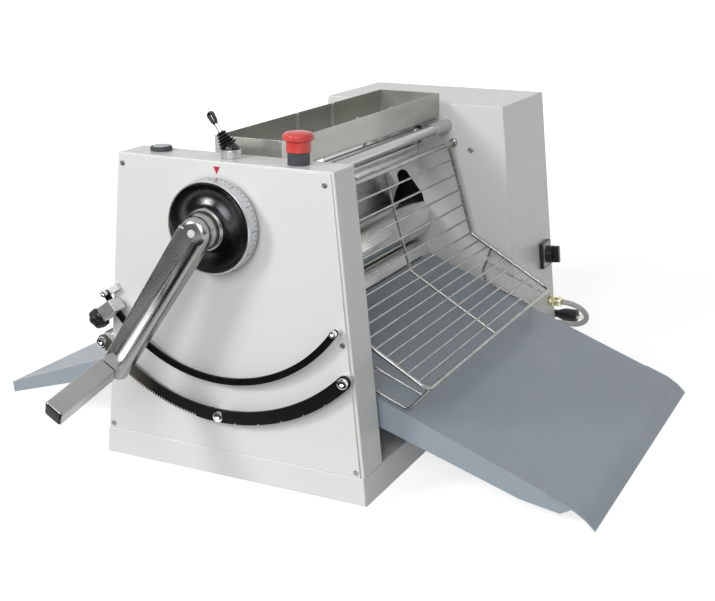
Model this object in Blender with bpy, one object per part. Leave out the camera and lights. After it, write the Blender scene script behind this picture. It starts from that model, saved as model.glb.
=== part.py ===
"""Bench dough sheeter: two housings on a plinth, two rollers, crank-set gap, wire guards and chutes.

Metres, +Z up. X runs along the dough's travel, Y from the control side to the motor side.
The origin is the centre of the plinth's underside.
"""

import math

import bmesh
import bpy
from mathutils import Matrix, Vector

# Shared fits
GAP = 0.0003
OVERRUN = 0.002
ROUND_SIDES = 24
SMALL_SIDES = 12
WIRE_SIDES = 6
SMOOTH_ANGLE = math.radians(35.0)
SHEET = 0.002

# Body
BODY_HEIGHT = 0.450
BODY_DEPTH = 0.843
BASE_HALF_LENGTH = 0.212
TOP_HALF_LENGTH = 0.165
PLINTH_HEIGHT = 0.040
BASE_PLATE_THICKNESS = 0.003
FRONT_DEPTH = 0.060
REAR_DEPTH = 0.216
COVER_INSET = 0.0045
FLANGE_WIDTH = 0.012
FRONT_FACE = -BODY_DEPTH / 2
BACK_FACE = BODY_DEPTH / 2
FRONT_WALL = FRONT_FACE + FRONT_DEPTH
REAR_WALL = BACK_FACE - REAR_DEPTH
SIDE_SLOPE = (BASE_HALF_LENGTH - TOP_HALF_LENGTH) / BODY_HEIGHT

# Crank, dial and lift
CRANK_X = -0.006
CRANK_Z = BODY_HEIGHT * 0.813333
SHAFT_RADIUS = 0.009
DIAL_BACK_RADIUS = 0.068
DIAL_FRONT_RADIUS = 0.058
DIAL_STANDOFF = 0.006
DIAL_DEPTH = 0.019
DIAL_DISH = 0.005
DIAL_RIM = 0.004
COLLAR_RADIUS = 0.036
COLLAR_DEPTH = 0.006
HUB_RADIUS = 0.026
HUB_REACH = 0.062
HUB_BORE_DEPTH = 0.034
ARM_ANGLE = math.radians(31.0)
ARM_TILT = math.radians(9.0)
ARM_LENGTH = 0.218
ARM_ROOT_WIDTH = 0.042
ARM_END_WIDTH = 0.034
ARM_THICKNESS = 0.026
ARM_PLANE = 0.053
GRIP_TILT = math.radians(70.0)
GRIP_LENGTH = 0.095
GRIP_WIDTH = 0.028
GRIP_HEIGHT = 0.027
GRIP_EDGE = 0.004
LIFT_PER_RADIAN = 0.020
CRANK_BACK = math.radians(7.0)
CRANK_FORWARD = math.radians(75.0)
CAM_THICKNESS = 0.010
CAM_BASE_RADIUS = 0.024
CAM_BACK_RADIUS = 0.020
FOLLOWER_RADIUS = 0.008
CAM_STEPS = 18

# Toothed sector and stop rail, both centred on the crank
SECTOR_INNER = BODY_HEIGHT * 0.575556
SECTOR_WIDTH = 0.019
SECTOR_OUTER = SECTOR_INNER + SECTOR_WIDTH
SECTOR_THICKNESS = 0.004
SECTOR_HALF_ANGLE = math.radians(49.0)
SECTOR_BOLT_ANGLE = math.radians(45.5)
SECTOR_TOOTH_DEPTH = 0.0022
SECTOR_TEETH = 40
SECTOR_NOTCHES = 5
TEETH_FIRST_ANGLE = math.radians(44.0)
TEETH_LAST_ANGLE = math.radians(8.0)
TOOTH_STEEP_SHARE = 0.7
NOTCH_FIRST_ANGLE = math.radians(-5.0)
NOTCH_LAST_ANGLE = math.radians(-36.0)
NOTCH_HALF_ANGLE = math.radians(0.55)
RAIL_RADIUS = SECTOR_INNER * 0.833977
RAIL_WIDTH = 0.0095
RAIL_THICKNESS = 0.004
RAIL_LEFT_ANGLE = math.radians(59.3)
RAIL_RIGHT_ANGLE = math.radians(57.5)
RAIL_BOLT_LEFT = math.radians(57.5)
RAIL_BOLT_RIGHT = math.radians(55.5)
STANDOFF = 0.010
LUG_THICKNESS = 0.009
BOSS_RADIUS = 0.0085
BOLT_SHANK_RADIUS = 0.0035
BOLT_HEAD_RADIUS = 0.0075
BOLT_HEAD_DEPTH = 0.006
BOLT_ENGAGEMENT = 0.007
SOCKET_RADIUS = 0.0032
SOCKET_DEPTH = 0.003
RAIL_BOLT_RADIUS = 0.0020
STOP_ANGLE = math.radians(51.5)
STOP_TRAVEL = math.radians(7.0)
STOP_WIDTH = 0.020
STOP_LENGTH = 0.0265
STOP_DEPTH = 0.024
STOP_BACK = 0.0025
KNOB_RADIUS = 0.015
KNOB_LENGTH = 0.0195
KNOB_STUD_RADIUS = 0.005
KNOB_STUD_LENGTH = 0.003

# Controls on the front housing's top
JOYSTICK_X = -0.003
JOYSTICK_Y = FRONT_FACE + FRONT_DEPTH * 0.55
JOYSTICK_COLLAR_RADIUS = 0.0145
JOYSTICK_COLLAR_HEIGHT = 0.011
JOYSTICK_TILT = math.radians(34.0)
JOYSTICK_BALL_RADIUS = 0.0115
JOYSTICK_PIVOT_RISE = 0.009
BOOT_LENGTH = 0.027
BOOT_TOP_RADIUS = 0.0045
BOOT_RIB = 0.0012
BOOT_RIBS = 4
STICK_RADIUS = 0.003
STICK_END = 0.050
LOOP_LENGTH = 0.017
LOOP_WIDTH = 0.010
LOOP_THICKNESS = 0.006
LOOP_HOLE_WIDTH = 0.0042
LOOP_HOLE_LENGTH = 0.010
STOP_BUTTON_X = TOP_HALF_LENGTH * 0.606061
STOP_BUTTON_Y = FRONT_FACE + FRONT_DEPTH * 0.5
STOP_COLLAR_RADIUS = 0.015
STOP_COLLAR_HEIGHT = 0.020
STOP_HEAD_RADIUS = 0.0205
STOP_HEAD_HEIGHT = 0.011
STOP_SKIRT_RADIUS = 0.0165
STOP_SKIRT_HEIGHT = 0.012
STOP_STEM_RADIUS = 0.006
STOP_TRAVEL_DEPTH = 0.004
START_X = -TOP_HALF_LENGTH * 0.715152
START_Y = FRONT_FACE + FRONT_DEPTH * 0.633333
START_RADIUS = 0.015
START_HEIGHT = 0.006
START_CAP_RADIUS = 0.0115
START_CAP_RISE = 0.0015
START_TRAVEL = 0.003
START_CAP_DEPTH = 0.004

# Main switch, gland and lead on the rear housing's right side
SWITCH_INSET = 0.048
SWITCH_Y = BACK_FACE - SWITCH_INSET
SWITCH_Z = 0.158
SWITCH_SIZE = 0.048
SWITCH_THICKNESS = 0.007
SWITCH_KNOB_RADIUS = 0.016
SWITCH_KNOB_DEPTH = 0.012
SWITCH_BAR_WIDTH = 0.009
SWITCH_BAR_DEPTH = 0.011
SWITCH_SPINDLE_RADIUS = 0.004
GLAND_INSET = 0.026
GLAND_Y = BACK_FACE - GLAND_INSET
GLAND_Z = 0.063
GLAND_RADIUS = 0.0095
GLAND_NUT_RADIUS = 0.011
GLAND_LENGTH = 0.022
GLAND_NUT_LENGTH = 0.007
GLAND_NECK_RADIUS = 0.0085
CABLE_RADIUS = 0.005
CABLE_BEVEL_STEPS = 2
CABLE_LIE = 0.0056
LEAD_STRAIGHT = 0.003
LEAD_BEND_RADIUS = 0.038
LEAD_BEND_STEP = math.radians(15)
TAIL_BEND_RADIUS = 0.040
TAIL_STRAIGHT = 0.004
COIL_X = 0.060
COIL_STANDOFF = 0.0985
COIL_Y = BACK_FACE + COIL_STANDOFF
COIL_INNER_RADIUS = 0.0448
COIL_PITCH = 0.0106
COIL_RISE = 0.0106
COIL_DIP = 0.002
COIL_LOWER_TURNS = 2.0
COIL_CLIMB_TURNS = 0.5
COIL_UPPER_TURNS = 2.25
COIL_POINTS_PER_TURN = 24
COIL_START_ANGLE = math.radians(-90.0)
ROUTE_SPACING = 0.009
PLUG_LIE = 0.0128
PLUG_LENGTH = 0.036
PLUG_RADIUS = 0.0125
PLUG_PIN_RADIUS = 0.0024
PLUG_PIN_LENGTH = 0.017
PLUG_PIN_SPACING = 0.015
RELIEF_LENGTH = 0.022
RELIEF_RADIUS = 0.0065

# Rollers and what carries them
ROLLER_X = 0.006
UPPER_ROLLER_Z = BODY_HEIGHT * 0.544444
ROLLER_RADIUS = 0.035
NIP = 0.0027
JOURNAL_RADIUS = 0.011
ROLLER_END_PLAY = 0.0015
HANGER_HALF_WIDTH = 0.044
HANGER_THICKNESS = 0.008
HANGER_DROP = 0.030
HANGER_TOP_RIM = 0.011
SHAFT_SLOT_CLEARANCE = 0.0025
GUIDE_WIDTH = 0.014
GUIDE_THICKNESS = 0.011
GUIDE_TOP = BODY_HEIGHT * 0.877778
GUIDE_BOTTOM = BODY_HEIGHT * 0.422222
GUIDE_FOOT = 0.010
BEARING_RADIUS = 0.024
BEARING_THICKNESS = 0.009
BEARING_SEAT = 0.0148
WINDOW_HALF_WIDTH = 0.031
WINDOW_X = -0.005
WINDOW_BOTTOM = BODY_HEIGHT * 0.502222
WINDOW_SHOULDER = BODY_HEIGHT * 0.6
WINDOW_DOME_RISE = 0.037
LOBE_X = -0.017
LOBE_Z = BODY_HEIGHT * 0.704444
LOBE_RADIUS = 0.0115
SCRAPER_THICKNESS = 0.0025
SCRAPER_TOP_X = -0.054
SCRAPER_RISE = 0.083
SCRAPER_TOP_Z = UPPER_ROLLER_Z + SCRAPER_RISE
SCRAPER_BEND_X = -0.033
SCRAPER_BEND_RISE = 0.019
SCRAPER_BEND_Z = UPPER_ROLLER_Z + SCRAPER_BEND_RISE
SCRAPER_CLEARANCE = 0.0007
LOWER_SCRAPER_ANGLE = math.radians(58.0)
LOWER_SCRAPER_LENGTH = 0.032
SCRAPER_BAR = 0.014

# Drive behind the rear wall
GEAR_TEETH = 24
GEAR_PITCH_RADIUS = BODY_HEIGHT * 0.08
GEAR_ADDENDUM = GEAR_PITCH_RADIUS / 15
GEAR_DEDENDUM = GEAR_PITCH_RADIUS * 0.088889
GEAR_TOOTH_SHARE = 0.40
GEAR_TIP_SHARE = 0.42
GEAR_WIDTH = 0.012
SPROCKET_RADIUS = 0.022
SPROCKET_WIDTH = 0.006
MOTOR_SPROCKET_RADIUS = 0.022
CHAIN_THICKNESS = 0.006
CHAIN_WIDTH = 0.005
CHAIN_CLEARANCE = 0.0004
UPPER_CHAIN_REACH = 0.0345
UPPER_CHAIN_Y = REAR_WALL + UPPER_CHAIN_REACH
GEAR_REACH = 0.0505
GEAR_Y = REAR_WALL + GEAR_REACH
MAIN_CHAIN_REACH = 0.0665
MAIN_CHAIN_Y = REAR_WALL + MAIN_CHAIN_REACH
MOTOR_X = 0.105
MOTOR_Z = 0.100
GEARBOX_LENGTH = 0.080
GEARBOX_DEPTH = 0.096
GEARBOX_HEIGHT = 0.104
MOTOR_RADIUS = 0.052
MOTOR_LENGTH = 0.190
OUTPUT_RADIUS = 0.008
COUNTERSHAFT_RADIUS = 0.009

# Flour bin
BIN_LEFT = -0.062
BIN_RIGHT = 0.050
BIN_NEAR_CLEARANCE = 0.0285
BIN_NEAR = FRONT_WALL + BIN_NEAR_CLEARANCE
BIN_TOP = BODY_HEIGHT * 1.037778
BIN_DEPTH = 0.041
BIN_WALL = 0.0015
BIN_LEDGE = 0.010
BIN_FIN_THICKNESS = 0.003
BIN_FIN_REACH = 0.006
BIN_FIN_SHARES = (0.42, 0.64)
TIE_X = 0.064
TIE_Z = BODY_HEIGHT * 0.917778
TIE_RADIUS = 0.0085
TIE_SLEEVE_RADIUS = 0.0105
TIE_SLEEVE_LENGTH = 0.060
HEADER_X = 0.058
HEADER_Z = BODY_HEIGHT * 0.866667
HEADER_HEIGHT = 0.015
HEADER_LIP = 0.014
HEADER_END = 0.114

# Wire guards
GUARD_X = 0.078
GUARD_Z = BODY_HEIGHT * 0.853333
GUARD_BEND_X = 0.124
GUARD_BEND_Z = BODY_HEIGHT * 0.515556
GUARD_REACH_X = 0.267
GUARD_REACH_Z = 0.150
GUARD_ROD_RADIUS = 0.003
GUARD_WIRE_RADIUS = 0.0017
GUARD_PIVOT_RADIUS = 0.004
GUARD_COLLAR_RADIUS = 0.007
GUARD_COLLAR_LENGTH = 0.006
GUARD_MIDDLE_Y = FRONT_WALL + (REAR_WALL - FRONT_WALL) * 0.493827
GUARD_STEEP_WIRES = 6
GUARD_SLOPE_WIRES = 8
GUARD_END_CLEARANCE = 0.016
GUARD_FAR_CLEARANCE = 0.0225
CHEEK_SHARES = (0.26, 0.16, 0.20, 0.80)
CHEEK_REST = 0.0035
RUNG_SHARES = (0.40, 0.75)

# Chutes
CHUTE_SHEET = 0.002
CHUTE_NEAR_CLEARANCE = 0.008
CHUTE_NEAR = FRONT_WALL + CHUTE_NEAR_CLEARANCE
CHUTE_FAR_CLEARANCE = 0.022
CHUTE_FAR = REAR_WALL - CHUTE_FAR_CLEARANCE
PEG_RADIUS = 0.005
PEG_RISE = 0.012
PEG_INNER_X = 0.092
PEG_OUTER_X = 0.165
PEG_REACH = 0.006
CHUTE_INNER_X = 0.0465
CHUTE_BREAK_X = 0.193
FLANGE_BREAK_X = 0.197
RIGHT_INNER_Z = 0.188
RIGHT_BREAK_Z = 0.131
RIGHT_KNEE_X = 0.402
RIGHT_KNEE_Z = 0.053
RIGHT_END_X = 0.477
RIGHT_END_Z = 0.025
RIGHT_LIP_X = 0.494
RIGHT_LIP_Z = 0.0145
RIGHT_TIP_X = 0.507
RIGHT_TIP_Z = 0.002
RIGHT_FLANGE_INNER_Z = 0.139
RIGHT_FLANGE_BREAK_Z = 0.089
RIGHT_FLANGE_KNEE_X = 0.403
RIGHT_FLANGE_KNEE_Z = 0.023
RIGHT_FLANGE_END_X = 0.458
RIGHT_FLANGE_END_Z = 0.014
LEFT_INNER_Z = 0.1955
LEFT_BREAK_Z = 0.141
LEFT_END_X = 0.446
LEFT_END_Z = 0.047
LEFT_FLANGE_INNER_Z = 0.150
LEFT_FLANGE_BREAK_Z = 0.1046
LEFT_FLANGE_END_X = 0.444
LEFT_FLANGE_END_Z = 0.030
RIGHT_TOP = ((CHUTE_INNER_X, RIGHT_INNER_Z), (CHUTE_BREAK_X, RIGHT_BREAK_Z), (RIGHT_KNEE_X, RIGHT_KNEE_Z),
             (RIGHT_END_X, RIGHT_END_Z))
RIGHT_LIP = ((RIGHT_LIP_X, RIGHT_LIP_Z), (RIGHT_TIP_X, RIGHT_TIP_Z))
RIGHT_FLANGE = ((RIGHT_FLANGE_END_X, RIGHT_FLANGE_END_Z), (RIGHT_FLANGE_KNEE_X, RIGHT_FLANGE_KNEE_Z),
                (FLANGE_BREAK_X, RIGHT_FLANGE_BREAK_Z), (CHUTE_INNER_X, RIGHT_FLANGE_INNER_Z))
LEFT_TOP = ((CHUTE_INNER_X, LEFT_INNER_Z), (CHUTE_BREAK_X, LEFT_BREAK_Z), (LEFT_END_X, LEFT_END_Z))
LEFT_FLANGE = ((LEFT_FLANGE_END_X, LEFT_FLANGE_END_Z), (FLANGE_BREAK_X, LEFT_FLANGE_BREAK_Z),
               (CHUTE_INNER_X, LEFT_FLANGE_INNER_Z))
LIP_OVERHANG = 0.003
LIP_START_X = 0.440

# Derived places
LOWER_ROLLER_Z = UPPER_ROLLER_Z - ROLLER_RADIUS * 2 - NIP
COUNTERSHAFT_Z = LOWER_ROLLER_Z - GEAR_PITCH_RADIUS * 2
FRONT_HANGER_Y = FRONT_WALL - SHEET - HANGER_THICKNESS / 2 - OVERRUN
REAR_HANGER_Y = REAR_WALL + SHEET + HANGER_THICKNESS / 2 + OVERRUN
FOLLOWER_Z = CRANK_Z + CAM_BASE_RADIUS + GAP + FOLLOWER_RADIUS

COLOURS = {
    "paint": ((0.71, 0.72, 0.69, 1.0), 0.38, 0.0),
    "cast": ((0.72, 0.72, 0.72, 1.0), 0.22, 1.0),
    "steel": ((0.60, 0.60, 0.58, 1.0), 0.26, 1.0),
    "chrome": ((0.80, 0.80, 0.80, 1.0), 0.12, 1.0),
    "black_steel": ((0.03, 0.03, 0.03, 1.0), 0.40, 0.6),
    "black_plastic": ((0.02, 0.02, 0.02, 1.0), 0.45, 0.0),
    "red_plastic": ((0.68, 0.04, 0.04, 1.0), 0.40, 0.0),
    "grey_plastic": ((0.42, 0.43, 0.44, 1.0), 0.45, 0.0),
    "chute_steel": ((0.24, 0.28, 0.31, 1.0), 0.45, 0.3),
    "machined": ((0.45, 0.45, 0.45, 1.0), 0.35, 0.9),
    "brass": ((0.72, 0.60, 0.28, 1.0), 0.28, 1.0),
    "cable": ((0.62, 0.62, 0.60, 1.0), 0.50, 0.0),
}


def material(name, finish):
    colour, roughness, metallic = COLOURS[finish]
    made = bpy.data.materials.new(name)
    made.use_nodes = True
    shader = made.node_tree.nodes["Principled BSDF"]
    shader.inputs["Base Color"].default_value = colour
    shader.inputs["Roughness"].default_value = roughness
    shader.inputs["Metallic"].default_value = metallic
    return made


def new_object(name, build):
    mesh = bpy.data.meshes.new(name)
    bmesh.ops.recalc_face_normals(build, faces=build.faces)
    build.to_mesh(mesh)
    build.free()
    made = bpy.data.objects.new(name, mesh)
    bpy.context.scene.collection.objects.link(made)
    return made


def spot(axis, first, second, along):
    """A point from two coordinates in the plane across an axis, and one along it."""
    if axis == "X":
        return Vector((along, first, second))
    if axis == "Y":
        return Vector((first, along, second))
    return Vector((first, second, along))


def prism(name, outline, axis, low, high):
    build = bmesh.new()
    lower = [build.verts.new(spot(axis, a, b, low)) for a, b in outline]
    upper = [build.verts.new(spot(axis, a, b, high)) for a, b in outline]
    build.faces.new(lower)
    build.faces.new(upper[::-1])
    count = len(outline)
    for index in range(count):
        after = (index + 1) % count
        build.faces.new((lower[index], lower[after], upper[after], upper[index]))
    return new_object(name, build)


def block(name, x_range, y_range, z_range):
    low, high = z_range
    outline = list(zip((*x_range, *x_range[::-1]), (low, low, high, high)))
    return prism(name, outline, "Y", *y_range)


def basis(direction):
    forward = Vector(direction).normalized()
    side = forward.orthogonal().normalized()
    if abs(forward.y) > abs(forward.x) and abs(forward.y) > abs(forward.z):
        side = Vector((1, 0, 0)) - forward * forward.x
        side.normalize()
    return side, forward.cross(side), forward


def turned(name, profile, start, direction, sides=ROUND_SIDES, ring=False):
    """Turn (radius, height) points about a line. A ring's profile closes on itself."""
    side, up, forward = basis(direction)
    origin = Vector(start)
    build = bmesh.new()
    loops = []
    for radius, height in profile:
        centre = origin + forward * height
        if radius == 0:
            loops.append([build.verts.new(centre)])
            continue
        turn = []
        for step in range(sides):
            angle = math.tau * (step + 0.5) / sides
            turn.append(build.verts.new(centre + (side * math.cos(angle) + up * math.sin(angle)) * radius))
        loops.append(turn)
    pairs = list(zip(loops, loops[1:]))
    if ring:
        pairs.append((loops[-1], loops[0]))
    for first, second in pairs:
        for step in range(sides):
            after = (step + 1) % sides
            corners = [first[step % len(first)], first[after % len(first)]]
            corners += [second[after % len(second)], second[step % len(second)]]
            unique = list(dict.fromkeys(corners))
            build.faces.new(unique)
    return new_object(name, build)


def rod(name, start, end, radius, sides=ROUND_SIDES):
    line = Vector(end) - Vector(start)
    profile = [(0, 0), (radius, 0), (radius, line.length), (0, line.length)]
    return turned(name, profile, start, line, sides)


def evaluated(thing):
    graph = bpy.context.evaluated_depsgraph_get()
    return bpy.data.meshes.new_from_object(thing.evaluated_get(graph))


def is_closed(mesh):
    build = bmesh.new()
    build.from_mesh(mesh)
    closed = all(edge.is_manifold for edge in build.edges)
    build.free()
    return closed


def combine(target, others, operation):
    """Apply one Boolean after another, and remove the pieces that it used."""
    for other in others:
        step = target.modifiers.new(operation.lower(), "BOOLEAN")
        step.operation = operation
        step.solver = "EXACT"
        step.object = other
        mesh = evaluated(target)
        if not is_closed(mesh):
            step.solver = "MANIFOLD"
            mesh = evaluated(target)
        target.modifiers.clear()
        target.data = mesh
        bpy.data.objects.remove(other)
    return target


def unite(target, *others):
    return combine(target, others, "UNION")


def cut(target, *others):
    return combine(target, others, "DIFFERENCE")


def finish(thing, name, finish_name, origin=None):
    """Name the sub-part, give it its material, and put its origin on its joint."""
    thing.name = name
    thing.data.name = name
    thing.data.materials.clear()
    thing.data.materials.append(material(name, finish_name))
    for face in thing.data.polygons:
        face.material_index = 0
    if origin is not None:
        offset = Vector(origin)
        thing.data.transform(Matrix.Translation(-offset))
        thing.location = offset
    thing.data.shade_smooth()
    thing.data.set_sharp_from_angle(angle=SMOOTH_ANGLE)
    return thing


def half_length(height, inset=0):
    return BASE_HALF_LENGTH - SIDE_SLOPE * height - inset


def housing_outline(low, high, inset=0, top_inset=0):
    """The trapezoid of both housings between two heights, drawn in X and Z."""
    top = high - top_inset
    return [(-half_length(low, inset), low), (half_length(low, inset), low),
            (half_length(top, inset), top), (-half_length(top, inset), top)]


def polar(angle, radius):
    """A point round the crank, with the angle from straight down, positive to the left."""
    return CRANK_X - math.sin(angle) * radius, CRANK_Z - math.cos(angle) * radius


def arc_points(start, end, radius, steps):
    return [polar(start + (end - start) * step / steps, radius) for step in range(steps + 1)]


def window_outline():
    """The opening that lets the upper roller's journal and scraper rise."""
    top = WINDOW_SHOULDER + WINDOW_DOME_RISE
    left = WINDOW_X - WINDOW_HALF_WIDTH
    right = WINDOW_X + WINDOW_HALF_WIDTH
    waist = WINDOW_HALF_WIDTH / 2
    points = [(left, WINDOW_BOTTOM), (right, WINDOW_BOTTOM), (right, WINDOW_SHOULDER)]
    points.append((right - waist / 3, (WINDOW_SHOULDER + top) / 2))
    lobe_steps = 9
    for step in range(lobe_steps + 1):
        angle = math.radians(20) + math.radians(190) * step / lobe_steps
        points.append((LOBE_X + LOBE_RADIUS * math.cos(angle), LOBE_Z + LOBE_RADIUS * math.sin(angle)))
    points.append((left + waist * 0.75, top - LOBE_RADIUS / 3))
    points.append((left + waist / 3, (WINDOW_SHOULDER + top) / 2))
    points.append((left, WINDOW_SHOULDER))
    return points


def chute_line(points, x):
    """Height of a chute's outline at a distance from the middle."""
    ordered = sorted(points)
    for (x0, z0), (x1, z1) in zip(ordered, ordered[1:]):
        if x <= x1 or (x1, z1) == ordered[-1]:
            return z0 + (z1 - z0) * (x - x0) / (x1 - x0)
    return ordered[-1][1]


def peg_places():
    """Centres of the pegs that the chutes' flanges hook over, as X and Z."""
    places = []
    for side, flange in ((1, RIGHT_FLANGE), (-1, LEFT_FLANGE)):
        for x in (PEG_INNER_X, PEG_OUTER_X):
            places.append((side * x, chute_line(flange, x) + PEG_RISE))
    return places


def cut_wall(shell, low, high):
    """Openings that both roller walls share."""
    near, far = low - OVERRUN, high + OVERRUN
    cut(shell, prism("cutter", window_outline(), "Y", near, far))
    seat = JOURNAL_RADIUS + OVERRUN
    cut(shell, rod("cutter", (ROLLER_X, near, LOWER_ROLLER_Z), (ROLLER_X, far, LOWER_ROLLER_Z), seat))
    cut(shell, rod("cutter", (CRANK_X, near, CRANK_Z), (CRANK_X, far, CRANK_Z), SHAFT_RADIUS + GAP))
    for side in (1, -1):
        hole = GUARD_PIVOT_RADIUS + GAP
        place = (side * GUARD_X, near, GUARD_Z)
        cut(shell, rod("cutter", place, (side * GUARD_X, far, GUARD_Z), hole, SMALL_SIDES))


def make_base():
    tray = prism("base_tray", housing_outline(0, PLINTH_HEIGHT), "Y", FRONT_FACE, BACK_FACE)
    inner = housing_outline(-OVERRUN, PLINTH_HEIGHT - SHEET, SHEET)
    cut(tray, prism("cutter", inner, "Y", FRONT_FACE + SHEET, BACK_FACE - SHEET))
    finish(tray, "base_tray", "paint")
    outline = housing_outline(0, BASE_PLATE_THICKNESS, SHEET + GAP)
    plate = prism("base_plate", outline, "Y", FRONT_FACE + SHEET + GAP, BACK_FACE - SHEET - GAP)
    finish(plate, "base_plate", "machined")


def make_front_column():
    floor = PLINTH_HEIGHT + GAP
    face = FRONT_FACE + SHEET + GAP
    shell = prism("front_column", housing_outline(floor, BODY_HEIGHT), "Y", face, FRONT_WALL)
    inner = housing_outline(floor - OVERRUN, BODY_HEIGHT, SHEET, SHEET)
    cut(shell, prism("cutter", inner, "Y", face + SHEET, FRONT_WALL - SHEET))
    mouth = housing_outline(floor - OVERRUN, BODY_HEIGHT, FLANGE_WIDTH, FLANGE_WIDTH)
    cut(shell, prism("cutter", mouth, "Y", face - OVERRUN, face + SHEET + OVERRUN))
    cut_wall(shell, FRONT_WALL - SHEET, FRONT_WALL)
    for x, z in peg_places():
        reach = CHUTE_NEAR + CHUTE_SHEET + PEG_REACH
        unite(shell, rod("peg", (x, FRONT_WALL - SHEET / 2, z), (x, reach, z), PEG_RADIUS, SMALL_SIDES))
    for x, y, radius in ((JOYSTICK_X, JOYSTICK_Y, JOYSTICK_BALL_RADIUS),
                         (STOP_BUTTON_X, STOP_BUTTON_Y, STOP_STEM_RADIUS),
                         (START_X, START_Y, START_CAP_RADIUS)):
        bottom = (x, y, BODY_HEIGHT - SHEET - OVERRUN)
        cut(shell, rod("cutter", bottom, (x, y, BODY_HEIGHT + OVERRUN), radius + GAP, SMALL_SIDES))
    add_guides(shell, FRONT_WALL - SHEET / 2, -1)
    add_ledge(shell, FRONT_WALL - SHEET / 2, BIN_NEAR + BIN_LEDGE)
    finish(shell, "front_column", "paint")


def edge_reach(angle, margin):
    """How far from the crank a ray meets the cover's leaning edge, less a margin."""
    side = math.copysign(1, angle)
    across = half_length(CRANK_Z, COVER_INSET) - margin + side * CRANK_X
    return across / (math.sin(abs(angle)) - SIDE_SLOPE * math.cos(angle))


def edge_angle(radius, side, margin):
    """Where an arc round the crank meets the cover's leaning edge, less a margin."""
    reach = half_length(CRANK_Z, COVER_INSET) - margin + side * CRANK_X
    across = reach / (radius * math.hypot(1, SIDE_SLOPE))
    return side * (math.atan(SIDE_SLOPE) + math.asin(min(1, across)))


def add_lug(cover, first, second, width):
    """Carry a boss that stands past the cover's edge on an arm that starts on the cover."""
    back = FRONT_FACE + SHEET / 2
    front = back - LUG_THICKNESS
    middle = (front + back) / 2
    start = Vector((first[0], middle, first[1]))
    end = Vector((second[0], middle, second[1]))
    section = (LUG_THICKNESS, width)
    unite(cover, bar_between("lug", start, end, Vector((0, 1, 0)), section, section, GAP))


def make_front_cover():
    floor = PLINTH_HEIGHT + GAP
    outline = housing_outline(floor, BODY_HEIGHT, COVER_INSET, COVER_INSET / 2)
    cover = prism("front_cover", outline, "Y", FRONT_FACE, FRONT_FACE + SHEET)
    sector = (SECTOR_INNER + SECTOR_OUTER) / 2
    seats = [(angle, sector) for angle in (SECTOR_BOLT_ANGLE, 0, -SECTOR_BOLT_ANGLE)]
    seats += [(RAIL_BOLT_LEFT, RAIL_RADIUS), (-RAIL_BOLT_RIGHT, RAIL_RADIUS)]
    front = FRONT_FACE - STANDOFF
    for angle, radius in seats:
        x, z = polar(angle, radius)
        boss_radius = BOSS_RADIUS if radius == sector else RAIL_WIDTH / 2
        unite(cover, rod("boss", (x, front, z), (x, FRONT_FACE + SHEET / 2, z), boss_radius, SMALL_SIDES))
    for angle in (RAIL_BOLT_LEFT, -RAIL_BOLT_RIGHT):
        inward = edge_reach(angle, BOSS_RADIUS)
        if inward < RAIL_RADIUS:
            add_lug(cover, polar(angle, RAIL_RADIUS), polar(angle, inward), RAIL_WIDTH - GAP)
    for angle in (SECTOR_BOLT_ANGLE, -SECTOR_BOLT_ANGLE):
        inward = edge_angle(sector, math.copysign(1, angle), BOSS_RADIUS)
        if abs(inward) < abs(angle):
            add_lug(cover, polar(angle, sector), polar(inward, sector), BOSS_RADIUS)
    for angle, radius in seats:
        x, z = polar(angle, radius)
        shank = BOLT_SHANK_RADIUS if radius == sector else RAIL_BOLT_RADIUS
        deep = (x, front + BOLT_ENGAGEMENT + GAP, z)
        cut(cover, rod("cutter", (x, front - OVERRUN, z), deep, shank + GAP, SMALL_SIDES))
    hub = DIAL_STANDOFF - GAP
    inside = (CRANK_X, FRONT_FACE + SHEET / 2, CRANK_Z)
    unite(cover, rod("boss", (CRANK_X, FRONT_FACE - hub, CRANK_Z), inside, HUB_RADIUS))
    through = (CRANK_X, FRONT_FACE + SHEET + OVERRUN, CRANK_Z)
    cut(cover, rod("cutter", (CRANK_X, FRONT_FACE - hub - OVERRUN, CRANK_Z), through, SHAFT_RADIUS + GAP))
    finish(cover, "front_cover", "paint")


def side_hole(y, z, radius):
    """A cutter through the rear housing's sloping right side."""
    x = half_length(z)
    return rod("cutter", (x - SHEET * 2 - OVERRUN, y, z), (x + OVERRUN, y, z), radius, SMALL_SIDES)


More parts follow.
